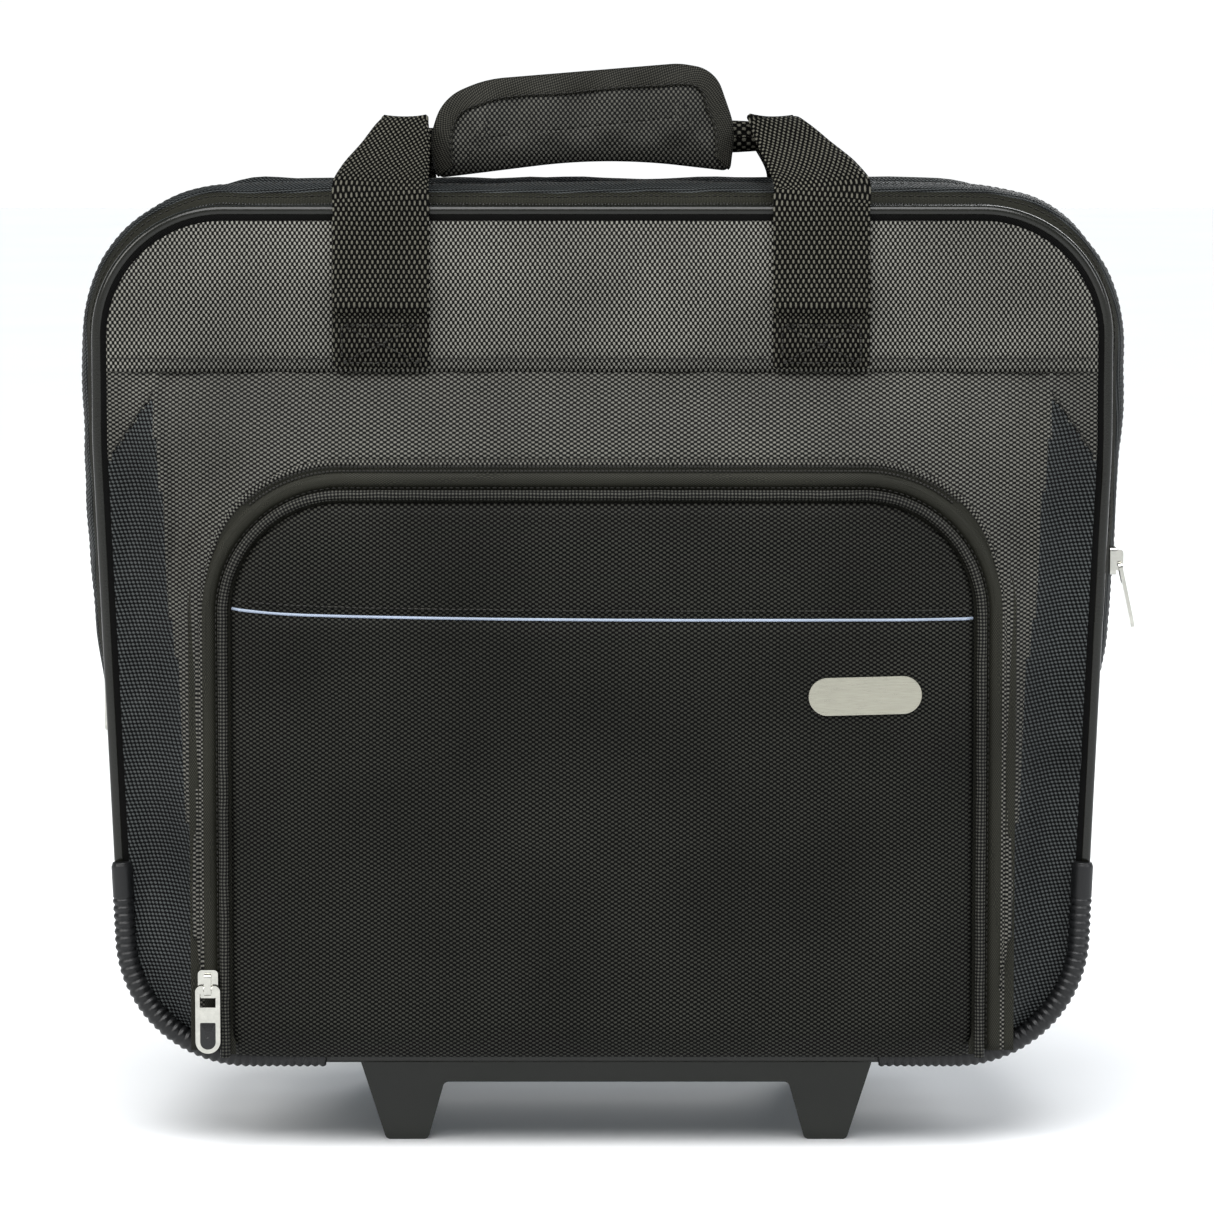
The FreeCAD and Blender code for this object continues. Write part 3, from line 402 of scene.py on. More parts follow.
# ---------------------------------------------------------------- materials
def new_material(name):
    """A new material, its node tree and its main shader."""
    material = bpy.data.materials.new(name)
    material.use_nodes = True
    return material, material.node_tree, material.node_tree.nodes["Principled BSDF"]


def maths(tree, operation, a, b=None):
    """Output of a sum on numbers or sockets."""
    node = tree.nodes.new("ShaderNodeMath")
    node.operation = operation
    for socket, value in zip(node.inputs, (a, b)):
        if value is None:
            continue
        if isinstance(value, (int, float)):
            socket.default_value = value
        else:
            tree.links.new(value, socket)
    return node.outputs[0]


def ramp(tree, factor, stops):
    """Colour ramp: stops are (place, value) pairs, where a value is a colour or one number for a grey."""
    node = tree.nodes.new("ShaderNodeValToRGB")
    elements = node.color_ramp.elements
    while len(elements) < len(stops):
        elements.new(0.5)
    for element, (place, value) in zip(elements, stops):
        element.position = place
        element.color = (value, value, value, 1.0) if isinstance(value, float) else (*value, 1.0)
    tree.links.new(factor, node.inputs[0])
    return node.outputs[0]


def blotches(tree, scale, detail=3.0, space="Object"):
    """Slow or fine noise from 0 to 1."""
    coords = tree.nodes.new("ShaderNodeTexCoord")
    texture = tree.nodes.new("ShaderNodeTexNoise")
    texture.inputs["Scale"].default_value = scale
    texture.inputs["Detail"].default_value = detail
    tree.links.new(coords.outputs[space], texture.inputs["Vector"])
    return texture.outputs["Fac"]


def bump(tree, height, distance, shader, strength=1.0):
    """Gives a shader small relief."""
    node = tree.nodes.new("ShaderNodeBump")
    node.inputs["Distance"].default_value = distance
    node.inputs["Strength"].default_value = strength
    tree.links.new(height, node.inputs["Height"])
    tree.links.new(node.outputs[0], shader.inputs["Normal"])


def uv_axes(tree, space="UV", axes="XY", turn=0.0):
    """The two coordinates that a weave follows, in metres."""
    coords = tree.nodes.new("ShaderNodeTexCoord")
    source = coords.outputs[space]
    if turn:
        rotate = tree.nodes.new("ShaderNodeVectorRotate")
        rotate.rotation_type = "Z_AXIS"
        rotate.inputs["Angle"].default_value = turn
        tree.links.new(source, rotate.inputs["Vector"])
        source = rotate.outputs[0]
    split = tree.nodes.new("ShaderNodeSeparateXYZ")
    tree.links.new(source, split.inputs[0])
    return split.outputs[axes[0]], split.outputs[axes[1]]


def woven(name, dark, light, pitch=(0.0016, 0.0014), turn=0.0, space="UV", axes="XY", rough=(0.62, 0.4),
          depth=0.00022, contrast=(0.42, 0.80), tone=(0.75, 1.15), gloss=0.18):
    """Cloth of staggered floats: bright crowns of thread on a dark ground, with slow changes of tone."""
    material, tree, shader = new_material(name)
    u, v = uv_axes(tree, space, axes, turn)
    wobble = blotches(tree, 55.0, 2.0)
    shift = maths(tree, "MULTIPLY", maths(tree, "SUBTRACT", wobble, 0.5), 0.0012)
    u = maths(tree, "ADD", u, shift)
    v = maths(tree, "ADD", v, shift)
    wave_u = maths(tree, "COSINE", maths(tree, "MULTIPLY", u, 2 * pi / pitch[0]))
    wave_v = maths(tree, "COSINE", maths(tree, "MULTIPLY", v, 2 * pi / pitch[1]))
    product = maths(tree, "MULTIPLY", wave_u, wave_v)
    height = maths(tree, "MULTIPLY_ADD", product, 0.5)
    height.node.inputs[2].default_value = 0.5
    fibre = blotches(tree, 2600.0, 1.0)
    uneven = maths(tree, "MULTIPLY", maths(tree, "SUBTRACT", fibre, 0.5), 0.35)
    height = maths(tree, "ADD", height, uneven)
    crown = tree.nodes.new("ShaderNodeMapRange")
    crown.interpolation_type = "SMOOTHSTEP"
    crown.inputs["From Min"].default_value = contrast[0]
    crown.inputs["From Max"].default_value = contrast[1]
    tree.links.new(height, crown.inputs["Value"])
    colour = ramp(tree, crown.outputs[0], [(0.0, dark), (1.0, light)])
    slow = ramp(tree, blotches(tree, 14.0, 2.0), [(0.3, tone[0]), (0.7, tone[1])])
    mix = tree.nodes.new("ShaderNodeMix")
    mix.data_type = "RGBA"
    mix.blend_type = "MULTIPLY"
    mix.inputs["Factor"].default_value = 1.0
    tree.links.new(colour, mix.inputs["A"])
    tree.links.new(slow, mix.inputs["B"])
    tree.links.new(mix.outputs["Result"], shader.inputs["Base Color"])
    roughness = ramp(tree, crown.outputs[0], [(0.0, rough[0]), (1.0, rough[1])])
    tree.links.new(roughness, shader.inputs["Roughness"])
    shader.inputs["Specular IOR Level"].default_value = gloss
    bump(tree, height, depth, shader)
    return material


def plastic(name, colour, rough=(0.35, 0.5), grain=1800.0, depth=0.00006, spread=0.8, gloss=0.4):
    """Moulded plastic, rubber or vinyl with a fine grain and slightly uneven gloss."""
    material, tree, shader = new_material(name)
    cloud = blotches(tree, 30.0)
    darker = tuple(c * spread for c in colour)
    tree.links.new(ramp(tree, cloud, [(0.35, darker), (0.65, colour)]), shader.inputs["Base Color"])
    tree.links.new(ramp(tree, cloud, [(0.3, rough[0]), (0.7, rough[1])]), shader.inputs["Roughness"])
    shader.inputs["Specular IOR Level"].default_value = gloss
    bump(tree, blotches(tree, grain, 2.0), depth, shader)
    return material


def metal(name, colour, rough=(0.22, 0.36), stretch=(1.0, 1.0, 30.0), scale=220.0):
    """Brushed or satin metal: the grain runs across the stretched axis."""
    material, tree, shader = new_material(name)
    coords = tree.nodes.new("ShaderNodeTexCoord")
    mapping = tree.nodes.new("ShaderNodeMapping")
    mapping.inputs["Scale"].default_value = stretch
    texture = tree.nodes.new("ShaderNodeTexNoise")
    texture.inputs["Scale"].default_value = scale
    texture.inputs["Detail"].default_value = 4.0
    tree.links.new(coords.outputs["Object"], mapping.inputs[0])
    tree.links.new(mapping.outputs[0], texture.inputs["Vector"])
    tint = tuple(c * 0.82 for c in colour)
    grain = texture.outputs["Fac"]
    tree.links.new(ramp(tree, grain, [(0.3, tint), (0.7, colour)]), shader.inputs["Base Color"])
    tree.links.new(ramp(tree, grain, [(0.3, rough[0]), (0.7, rough[1])]), shader.inputs["Roughness"])
    shader.inputs["Metallic"].default_value = 1.0
    bump(tree, grain, 0.00002, shader)
    return material


NYLON = woven("nylon", (0.0010, 0.0010, 0.0009), (0.195, 0.191, 0.168), (0.00203, 0.0029), gloss=0.08)
NYLON_POCKET = woven("nylon_pocket", (0.0012, 0.0012, 0.0011), (0.120, 0.118, 0.103), (0.0029, 0.00186),
                     gloss=0.1)
NYLON_FLAP = woven("nylon_flap", (0.0008, 0.0008, 0.0008), (0.030, 0.0305, 0.0255), (0.0029, 0.00188),
                   gloss=0.05)
NYLON_SIDE = woven("nylon_side", (0.0014, 0.0016, 0.0018), (0.055, 0.0600, 0.0600), (0.0027, 0.0021),
                   turn=0.6, gloss=0.07)
WRAP_CLOTH = woven("wrap_cloth", (0.0014, 0.0014, 0.0016), (0.085, 0.084, 0.072), (0.0021, 0.0026),
                   gloss=0.12)
WEBBING = woven("webbing", (0.0008, 0.0008, 0.0007), (0.098, 0.095, 0.076), (0.00222, 0.0041),
                rough=(0.7, 0.45), depth=0.0004, contrast=(0.5, 0.88), gloss=0.04)
BINDING = woven("binding", (0.0042, 0.0042, 0.0034), (0.040, 0.039, 0.031), (0.0015, 0.0013), turn=0.6,
                depth=0.00015, gloss=0.10)
CORD = woven("cord_cover", (0.0012, 0.0012, 0.0012), (0.052, 0.052, 0.044), (0.0021, 0.0021), turn=0.785,
             depth=0.00025, gloss=0.12)
TAPE = woven("zip_tape", (0.0080, 0.0080, 0.0060), (0.0290, 0.0290, 0.0205), (0.0009, 0.0012), depth=0.0001,
             gloss=0.12)
LINING = woven("lining", (0.020, 0.020, 0.022), (0.070, 0.070, 0.074), (0.0012, 0.0012), depth=0.0001)
LINING_FLAT = woven("lining_flat", (0.020, 0.020, 0.022), (0.070, 0.070, 0.074), (0.0012, 0.0012),
                    space="Object", axes="XZ", depth=0.0001)
# Near-black painted shade: on the front panel it shows as the shadow in the gap between the piping and the
# front cloth.
PAINTED_SEAM_SHADE = woven("painted_seam_shade", (0.0010, 0.0010, 0.0010), (0.0035, 0.0035, 0.0032), (0.0012, 0.0012),
                   space="Object", axes="XZ", depth=0.0001, gloss=0.05)
THREAD = plastic("thread", (0.016, 0.0155, 0.013), (0.45, 0.6), 4000.0, gloss=0.25)
COIL = plastic("coil", (0.016, 0.016, 0.014), (0.2, 0.34), 1500.0, 0.00002)
VINYL = plastic("piping_vinyl", (0.0058, 0.0062, 0.0042), (0.18, 0.28), 900.0, 0.00004, gloss=0.34)
RUBBER = plastic("guard_rubber", (0.0070, 0.0074, 0.0080), (0.34, 0.48), 1600.0, 0.00006, gloss=0.3)
MOULDED = plastic("moulded_plastic", (0.0165, 0.0180, 0.0150), (0.4, 0.52), 2200.0, 0.00007, gloss=0.3)
GRIP = plastic("grip_plastic", (0.012, 0.0125, 0.013), (0.3, 0.45), 1400.0, 0.0001)
BUTTON = plastic("button_plastic", (0.06, 0.062, 0.068), (0.22, 0.3), 1800.0, 0.00003)
TYRE = plastic("tyre", (0.012, 0.012, 0.0125), (0.42, 0.6), 1200.0, 0.0001, gloss=0.3)
HUB = plastic("hub_plastic", (0.06, 0.062, 0.066), (0.3, 0.44), 1800.0, 0.00005)
BOARD = plastic("board", (0.03, 0.03, 0.032), (0.5, 0.65), 900.0, 0.0001)
ACCENT = plastic("accent_cord", (0.28, 0.33, 0.42), (0.28, 0.4), 900.0, 0.00003)
INSERT = plastic("pull_insert", (0.003, 0.003, 0.0035), (0.15, 0.25), 1200.0, 0.00003)
NICKEL = metal("satin_nickel", (0.40, 0.39, 0.325), (0.26, 0.40), (1.0, 1.0, 24.0))
BRIGHT = metal("bright_nickel", (0.52, 0.515, 0.47), (0.08, 0.18), (1.0, 1.0, 1.0), 500.0)
ALUMINIUM = metal("brushed_aluminium", (0.60, 0.61, 0.62), (0.24, 0.38), (60.0, 60.0, 1.0), 40.0)
STEEL = metal("plain_steel", (0.52, 0.53, 0.55), (0.22, 0.36), (1.0, 1.0, 1.0), 600.0)

ZIP_METAL = "front_zip_slider front_zip_pull main_zip_slider main_zip_pull laptop_zip_slider laptop_zip_pull"
CAD_LOOKS = (
    (LINING_FLAT, "divider_panel"),
    # the front panel, seen in the gap round the front cloth, is painted near-black as shade
    (PAINTED_SEAM_SHADE, "front_panel"),
    (BOARD, "base_board"),
    (MOULDED, "foot_bar wheel_carriage"),
    (STEEL, "foot_bar_screws carriage_screws wheel_axles release_rods button_spring"),
    (ALUMINIUM, "outer_tubes middle_tubes inner_tubes"),
    (GRIP, "trolley_bezel middle_collars grip_base grip_cap"),
    (BUTTON, "release_button"),
    (NICKEL, "badge_plate"),
    (BRIGHT, ZIP_METAL),
    (TYRE, "wheel_left_tyre wheel_right_tyre"),
    (HUB, "wheel_left_hub wheel_right_hub"),
)
BEVEL_WIDTHS = (
    (0.0012, "foot_bar"),
    (0.0010, "wheel_carriage trolley_bezel"),
    (0.0008, "grip_cap grip_base"),
    (0.0006, "badge_plate release_button middle_collars"),
    (0.0004, ZIP_METAL),
)


def dress_cad():
    """Gives each CAD piece that stays in view its material, and the moulded and cast ones a small bevel."""
    for material, nodes in CAD_LOOKS:
        for node in nodes.split():
            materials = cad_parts[node].data.materials
            materials.clear()
            materials.append(material)
    for width, nodes in BEVEL_WIDTHS:
        for node in nodes.split():
            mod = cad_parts[node].modifiers.new("edges", "BEVEL")
            mod.width = width
            mod.segments = 3
            mod.limit_method = "ANGLE"
            mod.angle_limit = radians(40)
            mod.harden_normals = False


# ---------------------------------------------------------------- front face: outline, yoke and pocket
def side_half(z, inset=0.0, foot=FOOT_HALF, shoulder=FRONT_HALF):
    """Half width of a panel at height z, inset from its straight side."""
    return lerp(foot, shoulder, min(1.0, (z - BOTTOM_Z) / (SHOULDER_Z - BOTTOM_Z))) - inset


def round_ends(z, half, low, high, r_low, r_high):
    """Half width at height z of a panel from low to high whose corners are rounded."""
    if z > high - r_high:
        rise = min(1.0, (z - (high - r_high)) / r_high)
        return half - r_high + r_high * sqrt(1 - rise * rise)
    if z < low + r_low:
        drop = min(1.0, (low + r_low - z) / r_low)
        return half - r_low + r_low * sqrt(1 - drop * drop)
    return half


def face_half(z, inset):
    """Half width of the front face at height z, with its rounded corners."""
    radius = CORNER_R - inset
    return round_ends(z, side_half(z, inset), BOTTOM_Z + inset, FRONT_TOP - inset, radius, radius)


def face_rows(low, high, half_at, depth_at, radius_low=0.0, radius_high=0.0, step=0.0022, columns=190):
    """Rows of points of a front-facing cloth panel: half_at(z) is its half width, depth_at(x, z) its y."""
    heights = []
    if radius_low:
        heights += [low + radius_low * (1 - cos(pi / 2 * k / 24)) for k in range(24)]
    start, end = low + radius_low, high - radius_high
    count = max(2, int((end - start) / step))
    heights += spread(start, end, count)
    if radius_high:
        heights += [high - radius_high * (1 - sin(pi / 2 * k / 24)) for k in range(1, 25)]
    return [[Vector((x, depth_at(x, z), z)) for x in spread(-half_at(z), half_at(z), columns)]
            for z in heights]


# Height and half width of the pocket's folds, and how far out the cloth stands beside them
FOLD = [(0.045, 0.158), (0.060, 0.168), (0.100, 0.1735), (0.185, 0.1780), (0.257, 0.1850), (0.331, 0.1905)]
FOLD_DEPTH = [(0.050, 0.84), (0.150, 0.74), (0.230, 0.64), (0.300, 0.60), (0.331, 0.60)]


def flap_distance(x, z):
    """Distance outside the flap's edge, negative inside it."""
    dx, dz = abs(x) - (FLAP_HALF - FLAP_R), z - (FLAP_TOP - FLAP_R)
    if dx > 0 and dz > 0:
        return hypot(dx, dz) - FLAP_R
    return max(dx, dz) - FLAP_R


def zip_edge(z):
    """How far the outer tape shows beyond the flap's edge: less down the sides than along the top."""
    return lerp(ZIP_SIDE, ZIP_OUT, smooth((z - FLAP_TOP + 0.030) / 0.042))


def pocket_depth(x, z):
    """How far the pocket's cloth stands out from the front panel."""
    ax = abs(x)
    edge = face_half(z, FACE_INSET)
    fold, fold_share = along(z, FOLD), along(z, FOLD_DEPTH)
    foot = ease((z - BOTTOM_Z - 0.004) / 0.020) ** 0.8
    full = POCKET_DEPTH * ease((SEAM_Z + 0.001 - z) / 0.046) ** 0.9 * lerp(0.25, 1.0, foot)
    border = flap_distance(x, z)
    beyond = border - ZIP_OUT
    if ax <= fold:
        near = smooth((beyond + 0.002) / max(0.006, fold - FLAP_HALF - ZIP_OUT + 0.004))
        near *= smooth((ax - 0.120) / 0.060)
        crease = hill(beyond - 0.006, 0.0035) * smooth((0.240 - z) / 0.06)
        value = full * lerp(1.0, fold_share, near) - 0.0035 * crease * smooth((ax - 0.150) / 0.02)
        value += 0.0014 * hill(fold - ax, 0.0022) - 0.0010 * hill(fold - ax - 0.006, 0.004)
    else:
        across = clamp((ax - fold) / max(0.004, edge - fold))
        pleat = sin(across * pi) ** 2 * along(z, [(0.06, 0.0), (0.14, 0.0035), (0.28, 0.0030), (0.33, 0.0)])
        value = full * fold_share * (1 - across) ** 1.35 - pleat - 0.0012 * hill(z - dart_z(ax), 0.0022)
        value = max(value, 0.0006)
    gather = hill(z - 0.302, 0.026) * smooth(beyond / 0.012)
    value += gather * (0.0022 * soft_noise(x + z * 0.35, 0, 0, 0.021, 71.0)
                       + 0.0008 * soft_noise(x, 0, z * 0.4, 0.010, 73.0))
    loose = smooth((SEAM_Z - z) / 0.03) * smooth((z - 0.05) / 0.04)
    soft = 0.0022 * soft_noise(x, 0, z * 0.6, 0.050, 3.0) + 0.0010 * soft_noise(x, 0, z * 0.6, 0.020, 7.0)
    if ax > fold:
        soft += 0.0026 * soft_noise(ax * 0.35, 0, z + ax * 0.9, 0.018, 11.0 if x > 0 else 5.0)
    flush = FRONT_Y - ZIP_FACE + 0.0004 - POCKET_DEPTH
    beside_zip = smooth((border - zip_edge(z) + 0.0012) / 0.0012) * (1 - smooth(beyond / 0.012))
    still = smooth((beyond + 0.004) / 0.02)
    return max(0.0013, value + flush * beside_zip * foot + soft * loose * lerp(0.15, 1.0, still))


def dart_z(x):
    """Height of the dart's seam in the pocket's top corners."""
    return 0.322 - (x - 0.1900) * 1.46


def make_pocket():
    """The front pocket's cloth, open behind the flap and its zip, with side panels of another cloth."""
    rows = face_rows(BOTTOM_Z + FACE_INSET, SEAM_Z + 0.002, lambda z: face_half(z, FACE_INSET),
                     lambda x, z: FRONT_Y - pocket_depth(x, z), 0.050, 0.0, 0.0020, 230)

    def keep(i, j):
        p = rows[i][j]
        return flap_distance(p.x, p.z) > ZIP_SPLIT + 0.0035 or p.z < FLAP_BOTTOM + 0.002

    shell = grid("pocket_shell", rows, NYLON_POCKET, "front_section", keep=keep)
    shell.data.materials.append(NYLON_SIDE)
    for polygon in shell.data.polygons:
        x, z = abs(polygon.center.x), polygon.center.z
        if x > along(z, FOLD) and z < dart_z(x):
            polygon.material_index = 1
    thicken(shell, 0.0014, inside=LINING)
    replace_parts(shell, "pocket_gusset")
    side_seams()


def side_seams():
    """Stitched dart in each top corner of the pocket."""
    for side, label in ((-1, "left"), (1, "right")):
        dart = []
        for x in spread(0.1900, 0.2090, 12):
            z = dart_z(x) + 0.0015
            dart.append(Vector((side * x, FRONT_Y - pocket_depth(side * x, z) - 0.0004, z)))
        stitches(f"dart_stitch_{label}", dart, "front_section", FRONTWARD, 0.0028, 0.0020)


def yoke_depth(x, z):
    """How far the yoke's cloth stands out: it curls in to its seam, where it puckers."""
    edge = min(face_half(z, 0.0045) - abs(x), FRONT_TOP - 0.0045 - z)
    curl = ease((z - SEAM_Z + 0.0012) / 0.0105)
    puff = 0.0040 * smooth(edge / 0.030) * (0.12 + 0.88 * curl) + 0.0010
    pucker = 0.0009 * soft_noise(x, 0, 0, 0.016, 61.0) * hill(z - SEAM_Z - 0.003, 0.010)
    soft = 0.0007 * soft_noise(x, 0, z, 0.055, 21.0) + 0.0004 * soft_noise(x, 0, z, 0.020, 23.0)
    return puff + (pucker + soft) * smooth(edge / 0.02)


def make_yoke():
    """The cloth over the pocket, with a row of stitches above its seam."""
    rows = face_rows(SEAM_Z - 0.0008, FRONT_TOP - FACE_INSET, lambda z: face_half(z, FACE_INSET),
                     lambda x, z: FRONT_Y - 0.0006 - yoke_depth(x, z), 0.0, CORNER_R - FACE_INSET,
                     columns=200)
    yoke = grid("yoke", rows, NYLON, "front_section")
    thicken(yoke, 0.0012)
    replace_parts(yoke, "yoke_panel")
    half, z = face_half(SEAM_Z, 0.008), SEAM_Z + 0.0052
    line = [Vector((x, FRONT_Y - 0.0008 - yoke_depth(x, z), z)) for x in spread(-half, half, 120)]
    stitches("yoke_stitch", line, "front_section", FRONTWARD, 0.0030, 0.0021)


# ---------------------------------------------------------------- the flap, its cord, zip and badge
def flap_half(z):
    """Half width of the flap's cloth at height z."""
    rise = z - (LEAF_TOP - LEAF_R)
    if rise > 0:
        return LEAF_HALF - LEAF_R + sqrt(max(0.0, LEAF_R ** 2 - rise ** 2))
    return LEAF_HALF


def accent_z(x):
    """Height of the accent cord: it sags a little between its ends."""
    t = x / LEAF_HALF
    return ACCENT_Z - 0.0008 + 0.0012 * t * t - 0.0010 * t + 0.0022 * exp(-(x + LEAF_HALF) / 0.020)


def flap_depth(x, z):
    """How far the flap's cloth stands out: crowned, tucked in at its edge and foot, pinched at the cord."""
    edge = LEAF_GROW - flap_distance(x, z)
    crown = FLAP_CROWN * ease(edge / 0.036)
    tuck = -0.0028 * (1 - ease(edge / 0.0045))
    foot = -0.0075 * (1 - ease((z - FLAP_BOTTOM) / 0.016))
    seam = z - accent_z(x)
    pinch = -0.0012 * hill(seam, 0.0022) + 0.0006 * smooth(-seam / 0.006)
    soft = 0.0010 * soft_noise(x, 0, z, 0.075, 31.0) + 0.0004 * soft_noise(x, 0, z, 0.025, 33.0)
    return crown + tuck + foot + (pinch + soft) * smooth(edge / 0.018)


def make_flap():
    """The flap's cloth, its accent cord under a row of stitches, and the cord round its edge."""
    def surface(x, z, lift=0.0):
        return Vector((x, FLAP_EDGE_Y - flap_depth(x, z) - lift, z))

    rows = face_rows(FLAP_BOTTOM, LEAF_TOP, flap_half, lambda x, z: surface(x, z).y, 0.0, LEAF_R, columns=170)
    flap = grid("flap", rows, NYLON_FLAP, "pocket_flap")
    thicken(flap, 0.0035, inside=LINING)
    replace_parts(flap, "flap_panel")

    xs = spread(-LEAF_HALF + 0.0008, LEAF_HALF - 0.0008, 90)
    line = [surface(x, accent_z(x), 0.0002) for x in xs]
    cord = tube("accent_cord", line, 0.00062, ACCENT, "pocket_flap", 10)
    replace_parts(cord, "accent_piping")
    stitches("accent_stitch", [surface(x, accent_z(x) + 0.0040, 0.0001) for x in xs], "pocket_flap",
             FRONTWARD, 0.0026, 0.0018)

    path = flap_path(LEAF_GROW + 0.0034, ZIP_FACE - 0.0014)
    piping = tube("flap_cord", path, 0.0022, CORD, "pocket_flap", 16)
    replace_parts(piping, "flap_piping")


def make_flap_hinge():
    """Cloth from the foot of the pocket to the foot of the flap."""
    back = FLAP_BACK_Y
    line = [Vector(p) for p in ((FRONT_Y - 0.0075, 0.0432), (FRONT_Y - 0.014, 0.0426), (back + 0.004, 0.0422),
                                (back - 0.0005, 0.0424), (back - 0.0018, 0.0445), (back - 0.0032, 0.0490))]
    half, columns = FLAP_HALF - 0.003, 100
    rows = []
    for place in spread(0, len(line) - 1, 24):
        i = min(int(place), len(line) - 2)
        y, z = line[i].lerp(line[i + 1], place - i)
        rows.append([Vector((x, y, z - 0.0003 * soft_noise(j * 0.003, y, 0, 0.02, 81.0)))
                     for j, x in enumerate(spread(-half, half, columns))])
    cloth = grid("flap_hinge_cloth", rows, NYLON_FLAP, None)
    thicken(cloth, 0.0008, Vector((0, -0.3, -1)), inside=LINING)
    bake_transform(cloth)


def flap_path(grow, y, bottom=None, step=0.002):
    """Line that follows the flap's edge at a distance, from the bottom left round to the bottom right."""
    low = FLAP_BOTTOM if bottom is None else bottom
    half, top, radius = FLAP_HALF + grow, FLAP_TOP + grow, FLAP_R + grow
    corners = [(-half, low), (-half, top), (half, top), (half, low)]
    return [Vector((p.x, y, p.y)) for p in rounded(corners, [0, radius, radius, 0], False, step)]


def band(name, inner, outer, y_at, material, body, bottom, columns=6):
    """Flat tape that follows the flap's edge between two distances from it."""
    grows = spread(inner, outer, columns)
    lines = [flap_path(grow, 0.0, bottom) for grow in grows]
    count = min(len(line) for line in lines)
    rows, uv_rows = [], []
    for grow, line in zip(grows, lines):
        picked = [line[round(i * (len(line) - 1) / (count - 1))] for i in range(count)]
        rows.append([Vector((p.x, y_at(grow), p.z)) for p in picked])
        uv_rows.append([(grow, i * 0.004) for i in range(count)])
    return grid(name, rows, material, body, uv_rows)


def zip_profile(grow):
    """Depth of the outer tape's face: a gap beside the flap, then the smooth back of the chain."""
    chain = sin(clamp((grow - 0.0117) / 0.0060) * pi) ** 0.6
    gap = 1 - smooth((grow - 0.0108) / 0.0010)
    return ZIP_FACE + 0.0004 + 0.0006 * gap - 0.0016 * chain


def edge_line(y, bottom, count=320):
    """Line along the outer tape's visible edge."""
    near, far = flap_path(ZIP_SIDE, y, bottom), flap_path(ZIP_OUT, y, bottom)
    line = []
    for i in range(count + 1):
        a, b = near[round(i * (len(near) - 1) / count)], far[round(i * (len(far) - 1) / count)]
        line.append(a.lerp(b, (zip_edge(b.z) - ZIP_SIDE) / (ZIP_OUT - ZIP_SIDE)))
    return line


def make_front_zip():
    """The zip's outer tape on the pocket and inner tape on the flap, their stitches and the pocket's welt."""
    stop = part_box("front_zip_outer")[0][2]
    outer = band("zip_tape_outer", ZIP_SPLIT, ZIP_OUT + 0.001, zip_profile, TAPE, "front_section", stop, 30)
    thicken(outer, 0.0006)
    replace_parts(outer, "front_zip_outer")
    inner = band("zip_tape_inner", LEAF_GROW - 0.001, ZIP_SPLIT, lambda grow: ZIP_FACE + 0.0006, TAPE,
                 "pocket_flap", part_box("front_zip_inner")[0][2])
    thicken(inner, 0.0006)
    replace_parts(inner, "front_zip_inner")
    for k, grow in enumerate((0.0185, 0.0204)):
        line = [p for p in flap_path(grow, ZIP_FACE + 0.0002, stop) if p.z > FLAP_TOP + 0.004]
        stitches(f"zip_stitch_{k}", line, "front_section", FRONTWARD, 0.0017, 0.0013, 0.0005)
    stitches("zip_stitch_inner", flap_path(0.0113, ZIP_FACE + 0.0004, stop), "front_section",
             FRONTWARD, 0.0026, 0.0018, 0.0003)
    welt = tube("pocket_welt", edge_line(ZIP_FACE + 0.0008, stop), 0.0013, NYLON_POCKET, "front_section", 12)


def make_pull_insert():
    """Black inlay in the lower half of the front zip's pull."""
    low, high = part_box("front_zip_pull")
    x, y, tip = (low[0] + high[0]) / 2, (low[1] + high[1]) / 2, low[2]
    half, foot, top = 0.0034, tip + 0.0016, tip + 0.0135
    corners = [(x - half, foot), (x - half, top), (x + half, top), (x + half, foot)]
    outline = rounded(corners, [0.0033, 0.0006, 0.0006, 0.0033], True, 0.0004)
    pad("front_zip_pull_insert", outline, (x, (tip + top) / 2), y - 0.00095, y + 0.00095, INSERT,
        "front_pull")


def pad(name, outline, centre, front, back, material, body, steps=20):
    """Shallow closed form with a rounded edge: its outline and centre are in the XZ plane."""
    centre, middle, depth = Vector(centre), (front + back) / 2, (back - front) / 2
    rows = []
    for k in range(steps + 1):
        angle = pi * k / steps
        reach = 1 - 0.12 * (1 - sin(angle) ** 0.5) if 0 < k < steps else 0.02
        y = middle - depth * cos(angle)
        rows.append([Vector((q.x, y, q.y)) for q in [centre.lerp(p, reach) for p in outline]])
    piece = grid(name, rows, material, body, closed=True)
    return piece


# ---------------------------------------------------------------- piping and corner guards
def make_piping():
    """Vinyl piping over the front rim, under the pocket and round the rear rim."""
    y, inset = FRONT_Y + 0.002, PIPING_R
    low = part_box("corner_guard_left")[1][2] - 0.004
    end_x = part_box("corner_guard_right")[0][0]
    half, side, high = FRONT_HALF - inset, side_half(low, inset), FRONT_TOP - inset
    corners = [(-side, low), (-half, SHOULDER_Z), (-half, high),
               (half, high), (half, SHOULDER_Z), (side, low)]
    radii = [0, SHOULDER_R, CORNER_R - inset, CORNER_R - inset, SHOULDER_R, 0]
    over = [Vector((p.x, y, p.y)) for p in rounded(corners, radii, False, 0.0025)]
    top = tube("piping_over", over, PIPING_R, VINYL, "front_section", 16)
    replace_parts(top, "front_piping")
    run = [Vector((x, y, BOTTOM_Z + PIPING_R)) for x in spread(-end_x - 0.004, end_x + 0.004, 60)]
    tube("piping_under", run, PIPING_R, VINYL, "front_section", 16)
    ring = [Vector((p.x, BACK_Y + 0.003, p.y)) for p in case_ring(REAR_RIM, PIPING_R - 0.001)]
    rear = tube("piping_rear", ring, PIPING_R, VINYL, "case", closed=True)
    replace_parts(rear, "rear_piping")


RIB_PITCH, COLLAR = 0.0033, 0.0150


